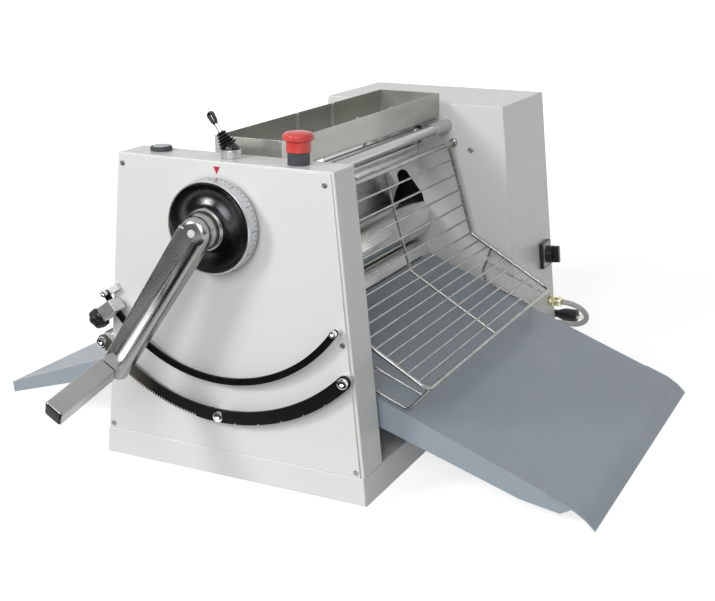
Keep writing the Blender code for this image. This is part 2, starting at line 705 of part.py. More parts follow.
def make_rear_housing():
    floor = PLINTH_HEIGHT + GAP
    back = BACK_FACE - SHEET - GAP
    shell = prism("rear_housing", housing_outline(floor, BODY_HEIGHT), "Y", REAR_WALL, back)
    inner = housing_outline(floor - OVERRUN, BODY_HEIGHT, SHEET, SHEET)
    cut(shell, prism("cutter", inner, "Y", REAR_WALL + SHEET, back - SHEET))
    mouth = housing_outline(floor - OVERRUN, BODY_HEIGHT, FLANGE_WIDTH, FLANGE_WIDTH)
    cut(shell, prism("cutter", mouth, "Y", back - SHEET - OVERRUN, back + OVERRUN))
    cut_wall(shell, REAR_WALL, REAR_WALL + SHEET)
    for x, z in peg_places():
        reach = CHUTE_FAR - CHUTE_SHEET - PEG_REACH
        unite(shell, rod("peg", (x, REAR_WALL + SHEET / 2, z), (x, reach, z), PEG_RADIUS, SMALL_SIDES))
    stub_end = (ROLLER_X, UPPER_CHAIN_Y - SPROCKET_WIDTH - GAP, COUNTERSHAFT_Z)
    stub_start = (ROLLER_X, REAR_WALL + SHEET / 2, COUNTERSHAFT_Z)
    unite(shell, rod("stub", stub_start, stub_end, COUNTERSHAFT_RADIUS * 2))
    axle_end = (ROLLER_X, GEAR_Y + GEAR_WIDTH / 2, COUNTERSHAFT_Z)
    axle_start = (ROLLER_X, REAR_WALL + SHEET, COUNTERSHAFT_Z)
    unite(shell, rod("stub", axle_start, axle_end, COUNTERSHAFT_RADIUS))
    cut(shell, side_hole(SWITCH_Y, SWITCH_Z, SWITCH_SPINDLE_RADIUS + GAP))
    cut(shell, side_hole(GLAND_Y, GLAND_Z, CABLE_RADIUS + GAP))
    add_guides(shell, REAR_WALL + SHEET / 2, 1)
    add_ledge(shell, REAR_WALL - BIN_LEDGE, REAR_WALL + SHEET / 2)
    finish(shell, "rear_housing", "paint")
    outline = housing_outline(floor, BODY_HEIGHT, COVER_INSET, COVER_INSET / 2)
    cover = prism("rear_cover", outline, "Y", BACK_FACE - SHEET, BACK_FACE)
    finish(cover, "rear_cover", "paint")


def make_ties():
    for name, side in (("tie_bar_right", 1), ("tie_bar_left", -1)):
        x = CRANK_X + side * (TIE_X - CRANK_X)
        near, far = FRONT_WALL + GAP, REAR_WALL - GAP
        bar = rod(name, (x, near, TIE_Z), (x, far - TIE_SLEEVE_LENGTH, TIE_Z), TIE_RADIUS, SMALL_SIDES)
        sleeve = rod("sleeve", (x, far - TIE_SLEEVE_LENGTH - OVERRUN, TIE_Z), (x, far, TIE_Z),
                     TIE_SLEEVE_RADIUS, SMALL_SIDES)
        finish(unite(bar, sleeve), name, "steel")
    top = HEADER_Z + HEADER_HEIGHT / 2
    bottom = HEADER_Z - HEADER_HEIGHT / 2
    inner = HEADER_X - HEADER_LIP
    outline = [(HEADER_X, top), (inner, top), (inner, top - SHEET), (HEADER_X - SHEET, top - SHEET),
               (HEADER_X - SHEET, bottom), (HEADER_X, bottom)]
    header = prism("guard_header", outline, "Y", FRONT_WALL + GAP, REAR_WALL - HEADER_END)
    finish(header, "guard_header", "steel")


def make_dial():
    back = -DIAL_STANDOFF
    front = back - DIAL_DEPTH
    bore = SHAFT_RADIUS + GAP
    rim = DIAL_FRONT_RADIUS - DIAL_RIM
    profile = [(bore, -back), (DIAL_BACK_RADIUS, -back), (DIAL_FRONT_RADIUS, -front), (rim, -front),
               (rim - DIAL_DISH / 2, -front - DIAL_DISH), (COLLAR_RADIUS, -front - DIAL_DISH / 2),
               (bore, -front)]
    centre = (CRANK_X, FRONT_FACE, CRANK_Z)
    dial = turned("dial_drum", profile, centre, (0, -1, 0), ROUND_SIDES + 8, ring=True)
    finish(dial, "dial_drum", "steel", centre)


def arm_frame():
    """Directions along the crank arm, across it, and square to both."""
    along = Vector((-math.sin(ARM_ANGLE) * math.cos(ARM_TILT), -math.sin(ARM_TILT),
                    -math.cos(ARM_ANGLE) * math.cos(ARM_TILT)))
    across = Vector((math.cos(ARM_ANGLE), 0, -math.sin(ARM_ANGLE)))
    return along, across, along.cross(across)


def bar_between(name, start, end, across, first, second, edge):
    """A bar with an eight-sided section that may taper from its first to its second size."""
    along = (end - start).normalized()
    up = along.cross(across).normalized()
    build = bmesh.new()
    loops = []
    for centre, (width, height) in ((start, first), (end, second)):
        a, b = width / 2, height / 2
        corners = [(a - edge, b), (a, b - edge), (a, edge - b), (a - edge, -b),
                   (edge - a, -b), (-a, edge - b), (-a, b - edge), (edge - a, b)]
        loops.append([build.verts.new(centre + across * x + up * y) for x, y in corners])
    count = len(loops[0])
    build.faces.new(loops[0])
    build.faces.new(loops[1][::-1])
    for index in range(count):
        after = (index + 1) % count
        build.faces.new((loops[0][index], loops[0][after], loops[1][after], loops[1][index]))
    return new_object(name, build)


def make_crank():
    dial_front = DIAL_STANDOFF + DIAL_DEPTH + GAP
    pivot = (CRANK_X, FRONT_FACE, CRANK_Z)
    hub_profile = [(0, dial_front), (COLLAR_RADIUS, dial_front), (COLLAR_RADIUS, dial_front + COLLAR_DEPTH),
                   (HUB_RADIUS, dial_front + COLLAR_DEPTH * 1.5), (HUB_RADIUS, HUB_REACH - HUB_RADIUS / 2),
                   (HUB_RADIUS * 0.80, HUB_REACH - HUB_RADIUS / 6), (HUB_RADIUS * 0.45, HUB_REACH),
                   (0, HUB_REACH)]
    arm = turned("crank_arm", hub_profile, pivot, (0, -1, 0))
    along, across, outward = arm_frame()
    root = Vector((CRANK_X, FRONT_FACE - ARM_PLANE, CRANK_Z))
    knee = root + along * ARM_LENGTH
    start = root - along * (ARM_ROOT_WIDTH / 3)
    stop = knee + along * (ARM_END_WIDTH / 2)
    unite(arm, bar_between("bar", start, stop, across, (ARM_ROOT_WIDTH, ARM_THICKNESS),
                           (ARM_END_WIDTH, ARM_THICKNESS), GRIP_EDGE))
    bore = SHAFT_RADIUS + GAP
    deep = HUB_BORE_DEPTH + dial_front
    cut(arm, rod("cutter", (CRANK_X, FRONT_FACE - dial_front + OVERRUN, CRANK_Z),
                 (CRANK_X, FRONT_FACE - deep, CRANK_Z), bore))
    flat = math.cos(GRIP_TILT)
    reach = Vector((-math.sin(ARM_ANGLE) * flat, -math.sin(GRIP_TILT), -math.cos(ARM_ANGLE) * flat))
    toward = -1 if outward.y > 0 else 1
    grip_root = knee + outward * (ARM_THICKNESS / 2 * toward)
    grip_start = grip_root + reach * GRIP_EDGE * 2.4
    grip_end = grip_start + reach * GRIP_LENGTH
    grip = bar_between("crank_grip", grip_start, grip_end, across, (GRIP_WIDTH, GRIP_HEIGHT),
                       (GRIP_WIDTH, GRIP_HEIGHT), GRIP_EDGE)
    tang = grip_start - reach * (ARM_THICKNESS * 0.9)
    unite(arm, bar_between("tang", tang, grip_start - reach * GAP, across,
                           (GRIP_WIDTH - GRIP_EDGE, GRIP_HEIGHT - GRIP_EDGE),
                           (GRIP_WIDTH - GRIP_EDGE, GRIP_HEIGHT - GRIP_EDGE), GRIP_EDGE))
    finish(arm, "crank_arm", "cast", pivot)
    finish(grip, "crank_grip", "cast", pivot)
    far = REAR_HANGER_Y + HANGER_THICKNESS / 2 + OVERRUN + CAM_THICKNESS + OVERRUN * 2
    shaft_start = (CRANK_X, FRONT_FACE - deep + GAP, CRANK_Z)
    shaft = rod("crank_shaft", shaft_start, (CRANK_X, far, CRANK_Z), SHAFT_RADIUS)
    finish(shaft, "crank_shaft", "machined", pivot)


def sector_outline():
    """The toothed plate: fine saw teeth on the left half, a few notches on the right."""
    points = arc_points(-SECTOR_HALF_ANGLE, SECTOR_HALF_ANGLE, SECTOR_INNER, 28)
    first, last = TEETH_FIRST_ANGLE, TEETH_LAST_ANGLE
    outer = [polar(SECTOR_HALF_ANGLE, SECTOR_OUTER)]
    for tooth in range(SECTOR_TEETH):
        angle = first + (last - first) * tooth / SECTOR_TEETH
        after = first + (last - first) * (tooth + TOOTH_STEEP_SHARE) / SECTOR_TEETH
        outer.append(polar(angle, SECTOR_OUTER))
        outer.append(polar(after, SECTOR_OUTER - SECTOR_TOOTH_DEPTH))
    outer.append(polar(last, SECTOR_OUTER))
    outer.append(polar(0, SECTOR_OUTER))
    half = NOTCH_HALF_ANGLE
    for notch in range(SECTOR_NOTCHES):
        angle = NOTCH_FIRST_ANGLE + (NOTCH_LAST_ANGLE - NOTCH_FIRST_ANGLE) * notch / (SECTOR_NOTCHES - 1)
        outer.append(polar(angle + half, SECTOR_OUTER))
        outer.append(polar(angle, SECTOR_OUTER - SECTOR_TOOTH_DEPTH))
        outer.append(polar(angle - half, SECTOR_OUTER))
    outer.append(polar(-SECTOR_HALF_ANGLE, SECTOR_OUTER))
    return points + outer


def make_sector():
    back = FRONT_FACE - STANDOFF - GAP
    front = back - SECTOR_THICKNESS
    plate = prism("toothed_sector", sector_outline(), "Y", front, back)
    middle = (SECTOR_INNER + SECTOR_OUTER) / 2
    names = ("sector_bolt_left", "sector_bolt_centre", "sector_bolt_right")
    for name, angle in zip(names, (SECTOR_BOLT_ANGLE, 0, -SECTOR_BOLT_ANGLE)):
        x, z = polar(angle, middle)
        ends = ((x, front - OVERRUN, z), (x, back + OVERRUN, z))
        cut(plate, rod("cutter", *ends, BOLT_SHANK_RADIUS + GAP, SMALL_SIDES))
        make_bolt(name, x, z, front - GAP, BOLT_HEAD_RADIUS, BOLT_HEAD_DEPTH, BOLT_SHANK_RADIUS)
    finish(plate, "toothed_sector", "black_steel")


def make_bolt(name, x, z, seat, head_radius, head_depth, shank_radius):
    """A socket-head bolt whose head sits on a plate and whose shank ends in its boss."""
    length = FRONT_FACE - STANDOFF + BOLT_ENGAGEMENT - seat
    profile = [(0, head_depth - SOCKET_DEPTH), (SOCKET_RADIUS, head_depth - SOCKET_DEPTH),
               (SOCKET_RADIUS, head_depth), (head_radius, head_depth), (head_radius, 0), (shank_radius, 0),
               (shank_radius, -length), (0, -length)]
    bolt = turned(name, profile, (x, seat, z), (0, -1, 0), SMALL_SIDES)
    finish(bolt, name, "chrome")


def make_rail():
    back = FRONT_FACE - STANDOFF - GAP
    front = back - RAIL_THICKNESS
    inner = arc_points(-RAIL_RIGHT_ANGLE, RAIL_LEFT_ANGLE, RAIL_RADIUS - RAIL_WIDTH / 2, 30)
    outer = arc_points(RAIL_LEFT_ANGLE, -RAIL_RIGHT_ANGLE, RAIL_RADIUS + RAIL_WIDTH / 2, 30)
    rail = prism("stop_rail", inner + outer, "Y", front, back)
    for name, angle in (("rail_bolt_left", RAIL_BOLT_LEFT), ("rail_bolt_right", -RAIL_BOLT_RIGHT)):
        x, z = polar(angle, RAIL_RADIUS)
        hole = RAIL_BOLT_RADIUS + GAP
        cut(rail, rod("cutter", (x, front - OVERRUN, z), (x, back + OVERRUN, z), hole, SMALL_SIDES))
        make_bolt(name, x, z, front - GAP, RAIL_WIDTH / 2, BOLT_HEAD_DEPTH, RAIL_BOLT_RADIUS)
    finish(rail, "stop_rail", "black_steel")


def make_stop():
    """The clamp block that the crank's end position is set with, and its knob."""
    half = STOP_WIDTH / 2 / RAIL_RADIUS
    first, last = STOP_ANGLE - half, STOP_ANGLE + half
    low, high = RAIL_RADIUS - STOP_LENGTH / 2, RAIL_RADIUS + STOP_LENGTH / 2
    outline = arc_points(first, last, low, 3) + arc_points(last, first, high, 3)
    back = FRONT_FACE - STANDOFF + STOP_BACK
    front = back - STOP_DEPTH
    clamp = prism("stop_block", outline, "Y", front, back)
    slack = math.radians(2.0)
    slot_low, slot_high = RAIL_RADIUS - RAIL_WIDTH / 2 - GAP, RAIL_RADIUS + RAIL_WIDTH / 2 + GAP
    slot = arc_points(first - slack, last + slack, slot_low, 8)
    slot += arc_points(last + slack, first - slack, slot_high, 8)
    rail_back = FRONT_FACE - STANDOFF
    cut(clamp, prism("cutter", slot, "Y", rail_back - RAIL_THICKNESS - GAP * 2, rail_back))
    x, z = polar(STOP_ANGLE, high)
    away = Vector((-math.sin(STOP_ANGLE), 0, -math.cos(STOP_ANGLE)))
    seat = Vector((x, (front + back) / 2, z))
    pivot = (CRANK_X, FRONT_FACE, CRANK_Z)
    finish(clamp, "stop_block", "machined", pivot)
    profile = [(0, GAP), (KNOB_STUD_RADIUS, GAP), (KNOB_STUD_RADIUS, KNOB_STUD_LENGTH),
               (KNOB_RADIUS * 0.7, KNOB_STUD_LENGTH), (KNOB_RADIUS, KNOB_STUD_LENGTH + KNOB_LENGTH / 4),
               (KNOB_RADIUS, KNOB_STUD_LENGTH + KNOB_LENGTH * 0.75),
               (KNOB_RADIUS * 0.8, KNOB_STUD_LENGTH + KNOB_LENGTH), (0, KNOB_STUD_LENGTH + KNOB_LENGTH)]
    knob = turned("stop_knob", profile, seat, away)
    finish(knob, "stop_knob", "black_plastic", seat)


def make_joystick():
    top = BODY_HEIGHT + GAP
    ring_hole = JOYSTICK_BALL_RADIUS + GAP * 3
    profile = [(ring_hole, 0), (JOYSTICK_COLLAR_RADIUS, 0), (JOYSTICK_COLLAR_RADIUS, JOYSTICK_COLLAR_HEIGHT),
               (ring_hole, JOYSTICK_COLLAR_HEIGHT)]
    collar = turned("joystick_collar", profile, (JOYSTICK_X, JOYSTICK_Y, top), (0, 0, 1), ring=True)
    finish(collar, "joystick_collar", "chrome")
    pivot = Vector((JOYSTICK_X, JOYSTICK_Y, top + JOYSTICK_PIVOT_RISE))
    lean = Vector((-math.sin(JOYSTICK_TILT), 0, math.cos(JOYSTICK_TILT)))
    ball = JOYSTICK_BALL_RADIUS
    profile = [(0, -ball)]
    for step in range(1, 6):
        angle = -math.pi / 2 + math.pi * 0.72 * step / 5
        profile.append((ball * math.cos(angle), ball * math.sin(angle)))
    top_height = profile[-1][1]
    wide = profile[-1][0]
    for rib in range(BOOT_RIBS):
        low = top_height + (BOOT_LENGTH - top_height) * (rib + 0.35) / BOOT_RIBS
        high = top_height + (BOOT_LENGTH - top_height) * (rib + 0.85) / BOOT_RIBS
        radius = wide + (BOOT_TOP_RADIUS - wide) * (rib + 1) / BOOT_RIBS
        profile += [(radius + BOOT_RIB, low), (radius, high)]
    profile += [(BOOT_TOP_RADIUS, BOOT_LENGTH), (0, BOOT_LENGTH)]
    boot = turned("joystick_boot", profile, pivot, lean, SMALL_SIDES)
    finish(boot, "joystick_boot", "black_plastic", pivot)
    stick_start = pivot + lean * (BOOT_LENGTH + GAP)
    stick_end = pivot + lean * (STICK_END - LOOP_LENGTH)
    stick = rod("joystick_stick", stick_start, stick_end, STICK_RADIUS, SMALL_SIDES)
    finish(stick, "joystick_stick", "chrome", pivot)
    side = Vector((math.cos(JOYSTICK_TILT), 0, math.sin(JOYSTICK_TILT)))
    loop_start = stick_end + lean * GAP
    loop_end = loop_start + lean * LOOP_LENGTH
    loop = bar_between("joystick_grip", loop_start, loop_end, side, (LOOP_WIDTH * 0.7, LOOP_THICKNESS),
                       (LOOP_WIDTH, LOOP_THICKNESS), LOOP_THICKNESS / 4)
    hole_start = loop_end - lean * (LOOP_HOLE_LENGTH + LOOP_HOLE_WIDTH / 2)
    hole_end = loop_end - lean * (LOOP_HOLE_WIDTH / 2)
    cut(loop, bar_between("cutter", hole_start, hole_end, side, (LOOP_HOLE_WIDTH, LOOP_WIDTH),
                          (LOOP_HOLE_WIDTH, LOOP_WIDTH), LOOP_HOLE_WIDTH / 4))
    finish(loop, "joystick_grip", "black_plastic", pivot)


def make_emergency_stop():
    top = BODY_HEIGHT + GAP
    place = (STOP_BUTTON_X, STOP_BUTTON_Y, top)
    stem = STOP_STEM_RADIUS + GAP
    profile = [(stem, 0), (STOP_COLLAR_RADIUS, 0),
               (STOP_COLLAR_RADIUS, STOP_COLLAR_HEIGHT - STOP_TRAVEL_DEPTH),
               (stem, STOP_COLLAR_HEIGHT - STOP_TRAVEL_DEPTH)]
    collar = turned("stop_button_collar", profile, place, (0, 0, 1), ring=True)
    finish(collar, "stop_button_collar", "black_plastic")
    seat = STOP_COLLAR_HEIGHT
    skirt_top = seat + STOP_SKIRT_HEIGHT
    inner = STOP_COLLAR_RADIUS + GAP * 2
    roof = seat + OVERRUN / 2
    profile = [(0, -SHEET * 2), (STOP_STEM_RADIUS, -SHEET * 2), (STOP_STEM_RADIUS, roof), (inner, roof),
               (inner, seat - STOP_TRAVEL_DEPTH), (STOP_SKIRT_RADIUS, seat - STOP_TRAVEL_DEPTH),
               (STOP_SKIRT_RADIUS, skirt_top), (STOP_HEAD_RADIUS, skirt_top + GAP * 8),
               (STOP_HEAD_RADIUS * 0.97, skirt_top + STOP_HEAD_HEIGHT * 0.6),
               (STOP_HEAD_RADIUS * 0.75, skirt_top + STOP_HEAD_HEIGHT * 0.95),
               (0, skirt_top + STOP_HEAD_HEIGHT)]
    head = turned("stop_button_head", profile, place, (0, 0, 1))
    finish(head, "stop_button_head", "red_plastic", place)


def make_start_button():
    place = (START_X, START_Y, BODY_HEIGHT + GAP)
    bore = START_CAP_RADIUS + GAP
    edge = START_HEIGHT / 6
    profile = [(bore, 0), (START_RADIUS, 0), (START_RADIUS, START_HEIGHT - edge),
               (START_RADIUS - edge, START_HEIGHT), (bore, START_HEIGHT)]
    bezel = turned("start_bezel", profile, place, (0, 0, 1), ring=True)
    finish(bezel, "start_bezel", "black_plastic")
    low = START_HEIGHT + START_CAP_RISE - START_CAP_DEPTH
    high = START_HEIGHT + START_CAP_RISE
    profile = [(0, low), (START_CAP_RADIUS, low), (START_CAP_RADIUS, high - edge),
               (START_CAP_RADIUS - edge, high), (0, high)]
    cap = turned("start_button", profile, place, (0, 0, 1))
    finish(cap, "start_button", "grey_plastic", place)


def side_frame(z):
    """The right side's outward direction and a point on it at mid-height z."""
    outward = Vector((1, 0, SIDE_SLOPE)).normalized()
    return outward, Vector((half_length(z), 0, z))


def make_switch():
    outward, base = side_frame(SWITCH_Z)
    centre = base + Vector((0, SWITCH_Y, 0))
    up = Vector((0, 1, 0)).cross(outward)
    start = centre + outward * GAP
    plate = bar_between("switch_plate", start, start + outward * SWITCH_THICKNESS, up,
                        (SWITCH_SIZE, SWITCH_SIZE), (SWITCH_SIZE, SWITCH_SIZE), SWITCH_THICKNESS / 3)
    spindle_hole = SWITCH_SPINDLE_RADIUS + GAP
    cut(plate, rod("cutter", start - outward * OVERRUN, start + outward * (SWITCH_THICKNESS + OVERRUN),
                   spindle_hole, SMALL_SIDES))
    finish(plate, "switch_plate", "black_plastic")
    seat = start + outward * (SWITCH_THICKNESS + GAP)
    profile = [(0, -SWITCH_THICKNESS - SHEET * 2), (SWITCH_SPINDLE_RADIUS, -SWITCH_THICKNESS - SHEET * 2),
               (SWITCH_SPINDLE_RADIUS, 0), (SWITCH_KNOB_RADIUS, 0), (SWITCH_KNOB_RADIUS, SWITCH_KNOB_DEPTH),
               (0, SWITCH_KNOB_DEPTH)]
    knob = turned("switch_knob", profile, seat, outward)
    bar_start = seat + outward * (SWITCH_KNOB_DEPTH - SWITCH_BAR_DEPTH / 4)
    bar_end = seat + outward * (SWITCH_KNOB_DEPTH + SWITCH_BAR_DEPTH)
    wide = SWITCH_KNOB_RADIUS * 1.9
    unite(knob, bar_between("bar", bar_start, bar_end, up, (wide, SWITCH_BAR_WIDTH),
                            (wide, SWITCH_BAR_WIDTH), SWITCH_BAR_WIDTH / 6))
    finish(knob, "switch_knob", "black_plastic", seat)


def gland_seat():
    """Where the gland's square face touches the leaning side."""
    return Vector((half_length(GLAND_Z) + SIDE_SLOPE * GLAND_NUT_RADIUS + GAP, GLAND_Y, GLAND_Z))


def coil_points():
    """One layer that winds in on the bench, a half-turn climb, and one that winds out on top."""
    total = COIL_LOWER_TURNS + COIL_CLIMB_TURNS + COIL_UPPER_TURNS
    climbed = COIL_LOWER_TURNS + COIL_CLIMB_TURNS
    points = []
    for step in range(round(total * COIL_POINTS_PER_TURN) + 1):
        turn = step / COIL_POINTS_PER_TURN
        if turn <= COIL_LOWER_TURNS:
            radius = COIL_INNER_RADIUS + COIL_PITCH * (COIL_LOWER_TURNS - turn)
            rise = 0
        elif turn <= climbed:
            share = (turn - COIL_LOWER_TURNS) / COIL_CLIMB_TURNS
            radius = COIL_INNER_RADIUS - COIL_DIP * math.sin(math.pi * share)
            rise = COIL_RISE * (1 - math.cos(math.pi * share)) / 2
        else:
            radius = COIL_INNER_RADIUS + COIL_PITCH * (turn - climbed)
            rise = COIL_RISE
        angle = COIL_START_ANGLE - turn * math.tau
        x, y = COIL_X + radius * math.cos(angle), COIL_Y + radius * math.sin(angle)
        points.append(Vector((x, y, CABLE_LIE + rise)))
    return points


def lead_route(mouth, coil_start, back):
    """Out of the gland, half a turn down to the bench behind the housing, then along to the coil."""
    straight = coil_start + back * (CABLE_RADIUS * 3)
    outward = Vector((1, 0, 0))
    drop = (mouth.z - CABLE_LIE) / (LEAD_BEND_RADIUS * 2)
    down = Vector((0, math.sqrt(1 - drop * drop), -drop))
    bend = mouth + outward * LEAD_STRAIGHT
    points = [mouth]
    for step in range(round(math.pi / LEAD_BEND_STEP) + 1):
        turn = step * LEAD_BEND_STEP
        points.append(bend + outward * (LEAD_BEND_RADIUS * math.sin(turn))
                      + down * (LEAD_BEND_RADIUS * (1 - math.cos(turn))))
    lands = points[-1]
    steps = 6
    for step in range(1, steps + 1):
        share = step / steps
        eased = share * share * (3 - share * 2)
        points.append(Vector((lands.x + (straight.x - lands.x) * share,
                              lands.y + (straight.y - lands.y) * eased, CABLE_LIE)))
    points.append(coil_start)
    return points


def tail_route(leave, onward):
    """Off the top of the coil, a quarter turn away from the housing, and down to where the plug lies."""
    away = Vector((1, 0, 0))
    bend = leave + onward * TAIL_STRAIGHT
    points = [leave]
    steps = round(math.pi / 2 / LEAD_BEND_STEP)
    for step in range(steps + 1):
        turn = math.pi / 2 * step / steps
        share = step / steps
        point = (bend + onward * (TAIL_BEND_RADIUS * math.sin(turn))
                 + away * (TAIL_BEND_RADIUS * (1 - math.cos(turn))))
        point.z += (PLUG_LIE - leave.z) * share * share * (3 - share * 2)
        points.append(point)
    points.append(points[-1] + away * TAIL_STRAIGHT)
    return points


def smooth_route(points, spacing=ROUTE_SPACING):
    """Points along a Catmull-Rom curve through the given ones, at an even spacing."""
    padded = [points[0] * 2 - points[1], *points, points[-1] * 2 - points[-2]]
    dense = []
    steps = 12
    for index in range(1, len(padded) - 2):
        before, start, end, after = padded[index - 1:index + 3]
        for step in range(steps):
            t = step / steps
            point = (start * 2 + (end - before) * t + (before * 2 - start * 5 + end * 4 - after) * t * t
                     + (start * 3 - before - end * 3 + after) * t * t * t) / 2
            dense.append(point)
    dense.append(points[-1])
    lengths = [0.0]
    for first, second in zip(dense, dense[1:]):
        lengths.append(lengths[-1] + (second - first).length)
    count = max(2, round(lengths[-1] / spacing))
    chosen = []
    cursor = 0
    for index in range(count + 1):
        wanted = lengths[-1] * index / count
        while cursor < len(lengths) - 2 and lengths[cursor + 1] < wanted:
            cursor += 1
        span = lengths[cursor + 1] - lengths[cursor]
        share = 0 if span == 0 else (wanted - lengths[cursor]) / span
        chosen.append(dense[cursor].lerp(dense[cursor + 1], min(1, share)))
    return chosen


def tube(name, points, radius, bevel_steps):
    curve = bpy.data.curves.new(name, "CURVE")
    curve.dimensions = "3D"
    curve.bevel_depth = radius
    curve.bevel_resolution = bevel_steps
    curve.use_fill_caps = True
    line = curve.splines.new("POLY")
    line.points.add(len(points) - 1)
    for target, point in zip(line.points, points):
        target.co = (*point, 1.0)
    made = bpy.data.objects.new(name, curve)
    bpy.context.scene.collection.objects.link(made)
    return made


def make_lead():
    start = gland_seat()
    mouth = start + Vector((GLAND_LENGTH, 0, 0))
    outward = Vector((1, 0, 0))
    nut_start = GLAND_LENGTH - GLAND_NUT_LENGTH
    bore = CABLE_RADIUS + GAP
    profile = [(bore, 0), (GLAND_NUT_RADIUS, 0), (GLAND_NUT_RADIUS, GLAND_NUT_LENGTH),
               (GLAND_NECK_RADIUS, GLAND_NUT_LENGTH * 1.3), (GLAND_NECK_RADIUS, nut_start),
               (GLAND_RADIUS, nut_start + GAP), (GLAND_RADIUS, GLAND_LENGTH - GAP * 4),
               (GLAND_NECK_RADIUS, GLAND_LENGTH), (bore, GLAND_LENGTH)]
    gland = turned("cable_gland", profile, start, outward, ring=True)
    finish(gland, "cable_gland", "brass")
    coil = coil_points()
    back = (coil[0] - coil[1]).normalized()
    meet = coil[0] + back * GAP
    route = lead_route(mouth + outward * GAP, meet, back)
    lead = tube("power_cable", smooth_route(route), CABLE_RADIUS, CABLE_BEVEL_STEPS)
    lead.data.materials.append(material("power_cable", "cable"))
    ring = tube("cable_coil", coil, CABLE_RADIUS, 1)
    ring.data.materials.append(material("cable_coil", "cable"))
    onward = (coil[-1] - coil[-2]).normalized()
    onward.z = 0
    onward.normalize()
    route = tail_route(coil[-1] + onward * GAP, onward)
    tail = tube("cable_tail", smooth_route(route), CABLE_RADIUS, CABLE_BEVEL_STEPS)
    tail.data.materials.append(material("cable_tail", "cable"))
    least_gap(coil)
    make_plug(route[-1])


def least_gap(coil):
    """Print the smallest clear space between the coil's own turns."""
    closest = min((coil[a] - coil[b]).length for a in range(len(coil))
                  for b in range(a + COIL_POINTS_PER_TURN // 2, len(coil)))
    print("least gap in the coil, mm:", round((closest - CABLE_RADIUS * 2) * 1000, 2))


def make_plug(tail_end):
    away = Vector((1, 0, 0))
    start = tail_end + away * GAP
    body_start = RELIEF_LENGTH
    body_end = RELIEF_LENGTH + PLUG_LENGTH
    profile = [(0, 0), (RELIEF_RADIUS, 0), (RELIEF_RADIUS * 1.2, RELIEF_LENGTH * 0.9),
               (PLUG_RADIUS * 0.7, body_start), (PLUG_RADIUS, body_start + PLUG_LENGTH / 3),
               (PLUG_RADIUS, body_end), (0, body_end)]
    plug = turned("mains_plug", profile, start, away)
    across = Vector((0, 0, 1)).cross(away).normalized()
    for side in (-1, 1):
        foot = start + away * (body_end - GAP) + across * (side * PLUG_PIN_SPACING / 2)
        tip = foot + away * PLUG_PIN_LENGTH
        unite(plug, rod("pin", foot - away * OVERRUN, tip, PLUG_PIN_RADIUS, SMALL_SIDES))
    finish(plug, "mains_plug", "black_plastic")


def make_rollers():
    near = FRONT_WALL + ROLLER_END_PLAY
    far = REAR_WALL - ROLLER_END_PLAY
    upper_near = FRONT_HANGER_Y - HANGER_THICKNESS / 2
    lower_near = FRONT_WALL - SHEET - BEARING_THICKNESS
    lower_far = MAIN_CHAIN_Y + SPROCKET_WIDTH
    specs = (("upper_roller", UPPER_ROLLER_Z, upper_near, UPPER_CHAIN_Y + SPROCKET_WIDTH),
             ("lower_roller", LOWER_ROLLER_Z, lower_near, lower_far))
    for name, z, journal_near, journal_far in specs:
        length = far - near
        profile = [(0, journal_near - near), (JOURNAL_RADIUS, journal_near - near), (JOURNAL_RADIUS, 0),
                   (ROLLER_RADIUS, 0), (ROLLER_RADIUS, length), (JOURNAL_RADIUS, length),
                   (JOURNAL_RADIUS, journal_far - near), (0, journal_far - near)]
        place = (ROLLER_X, near, z)
        roller = turned(name, profile, place, (0, 1, 0), ROUND_SIDES + 8)
        finish(roller, name, "chrome", (ROLLER_X, 0, z))


def make_lower_bearings():
    for name, start, direction in (("lower_bearing_front", FRONT_WALL - SHEET - GAP, (0, -1, 0)),
                                   ("lower_bearing_rear", REAR_WALL + SHEET + GAP, (0, 1, 0))):
        bore = JOURNAL_RADIUS + GAP
        profile = [(bore, 0), (BEARING_RADIUS, 0), (BEARING_RADIUS, BEARING_THICKNESS / 2),
                   (BEARING_SEAT, BEARING_THICKNESS / 2), (BEARING_SEAT, BEARING_THICKNESS),
                   (bore, BEARING_THICKNESS)]
        bearing = turned(name, profile, (ROLLER_X, start, LOWER_ROLLER_Z), direction, ring=True)
        finish(bearing, name, "machined")


def make_hangers():
    """Sliding plates that carry the upper roller and rest on the lift cams."""
    rise = LIFT_PER_RADIAN * CRANK_FORWARD
    drop = LIFT_PER_RADIAN * CRANK_BACK
    top = FOLLOWER_Z + HANGER_TOP_RIM
    bottom = UPPER_ROLLER_Z - HANGER_DROP
    for name, y, toward in (("roller_hanger_front", FRONT_HANGER_Y, -1),
                            ("roller_hanger_rear", REAR_HANGER_Y, 1)):
        low, high = y - HANGER_THICKNESS / 2, y + HANGER_THICKNESS / 2
        plate = block(name, (-HANGER_HALF_WIDTH, HANGER_HALF_WIDTH), (low, high), (bottom, top))
        start, end = (ROLLER_X, low - OVERRUN, UPPER_ROLLER_Z), (ROLLER_X, high + OVERRUN, UPPER_ROLLER_Z)
        cut(plate, rod("cutter", start, end, JOURNAL_RADIUS + GAP))
        reach = SHAFT_RADIUS + SHAFT_SLOT_CLEARANCE
        slot = ((CRANK_X - reach, CRANK_X + reach), (low - OVERRUN, high + OVERRUN),
                (CRANK_Z - rise - reach, CRANK_Z + drop + reach))
        cut(plate, block("cutter", *slot))
        face = y + toward * HANGER_THICKNESS / 2
        pin_end = face + toward * (OVERRUN + CAM_THICKNESS)
        pin = ((CRANK_X, y, FOLLOWER_Z), (CRANK_X, pin_end, FOLLOWER_Z))
        unite(plate, rod("follower", *pin, FOLLOWER_RADIUS, SMALL_SIDES))
        finish(plate, name, "machined")


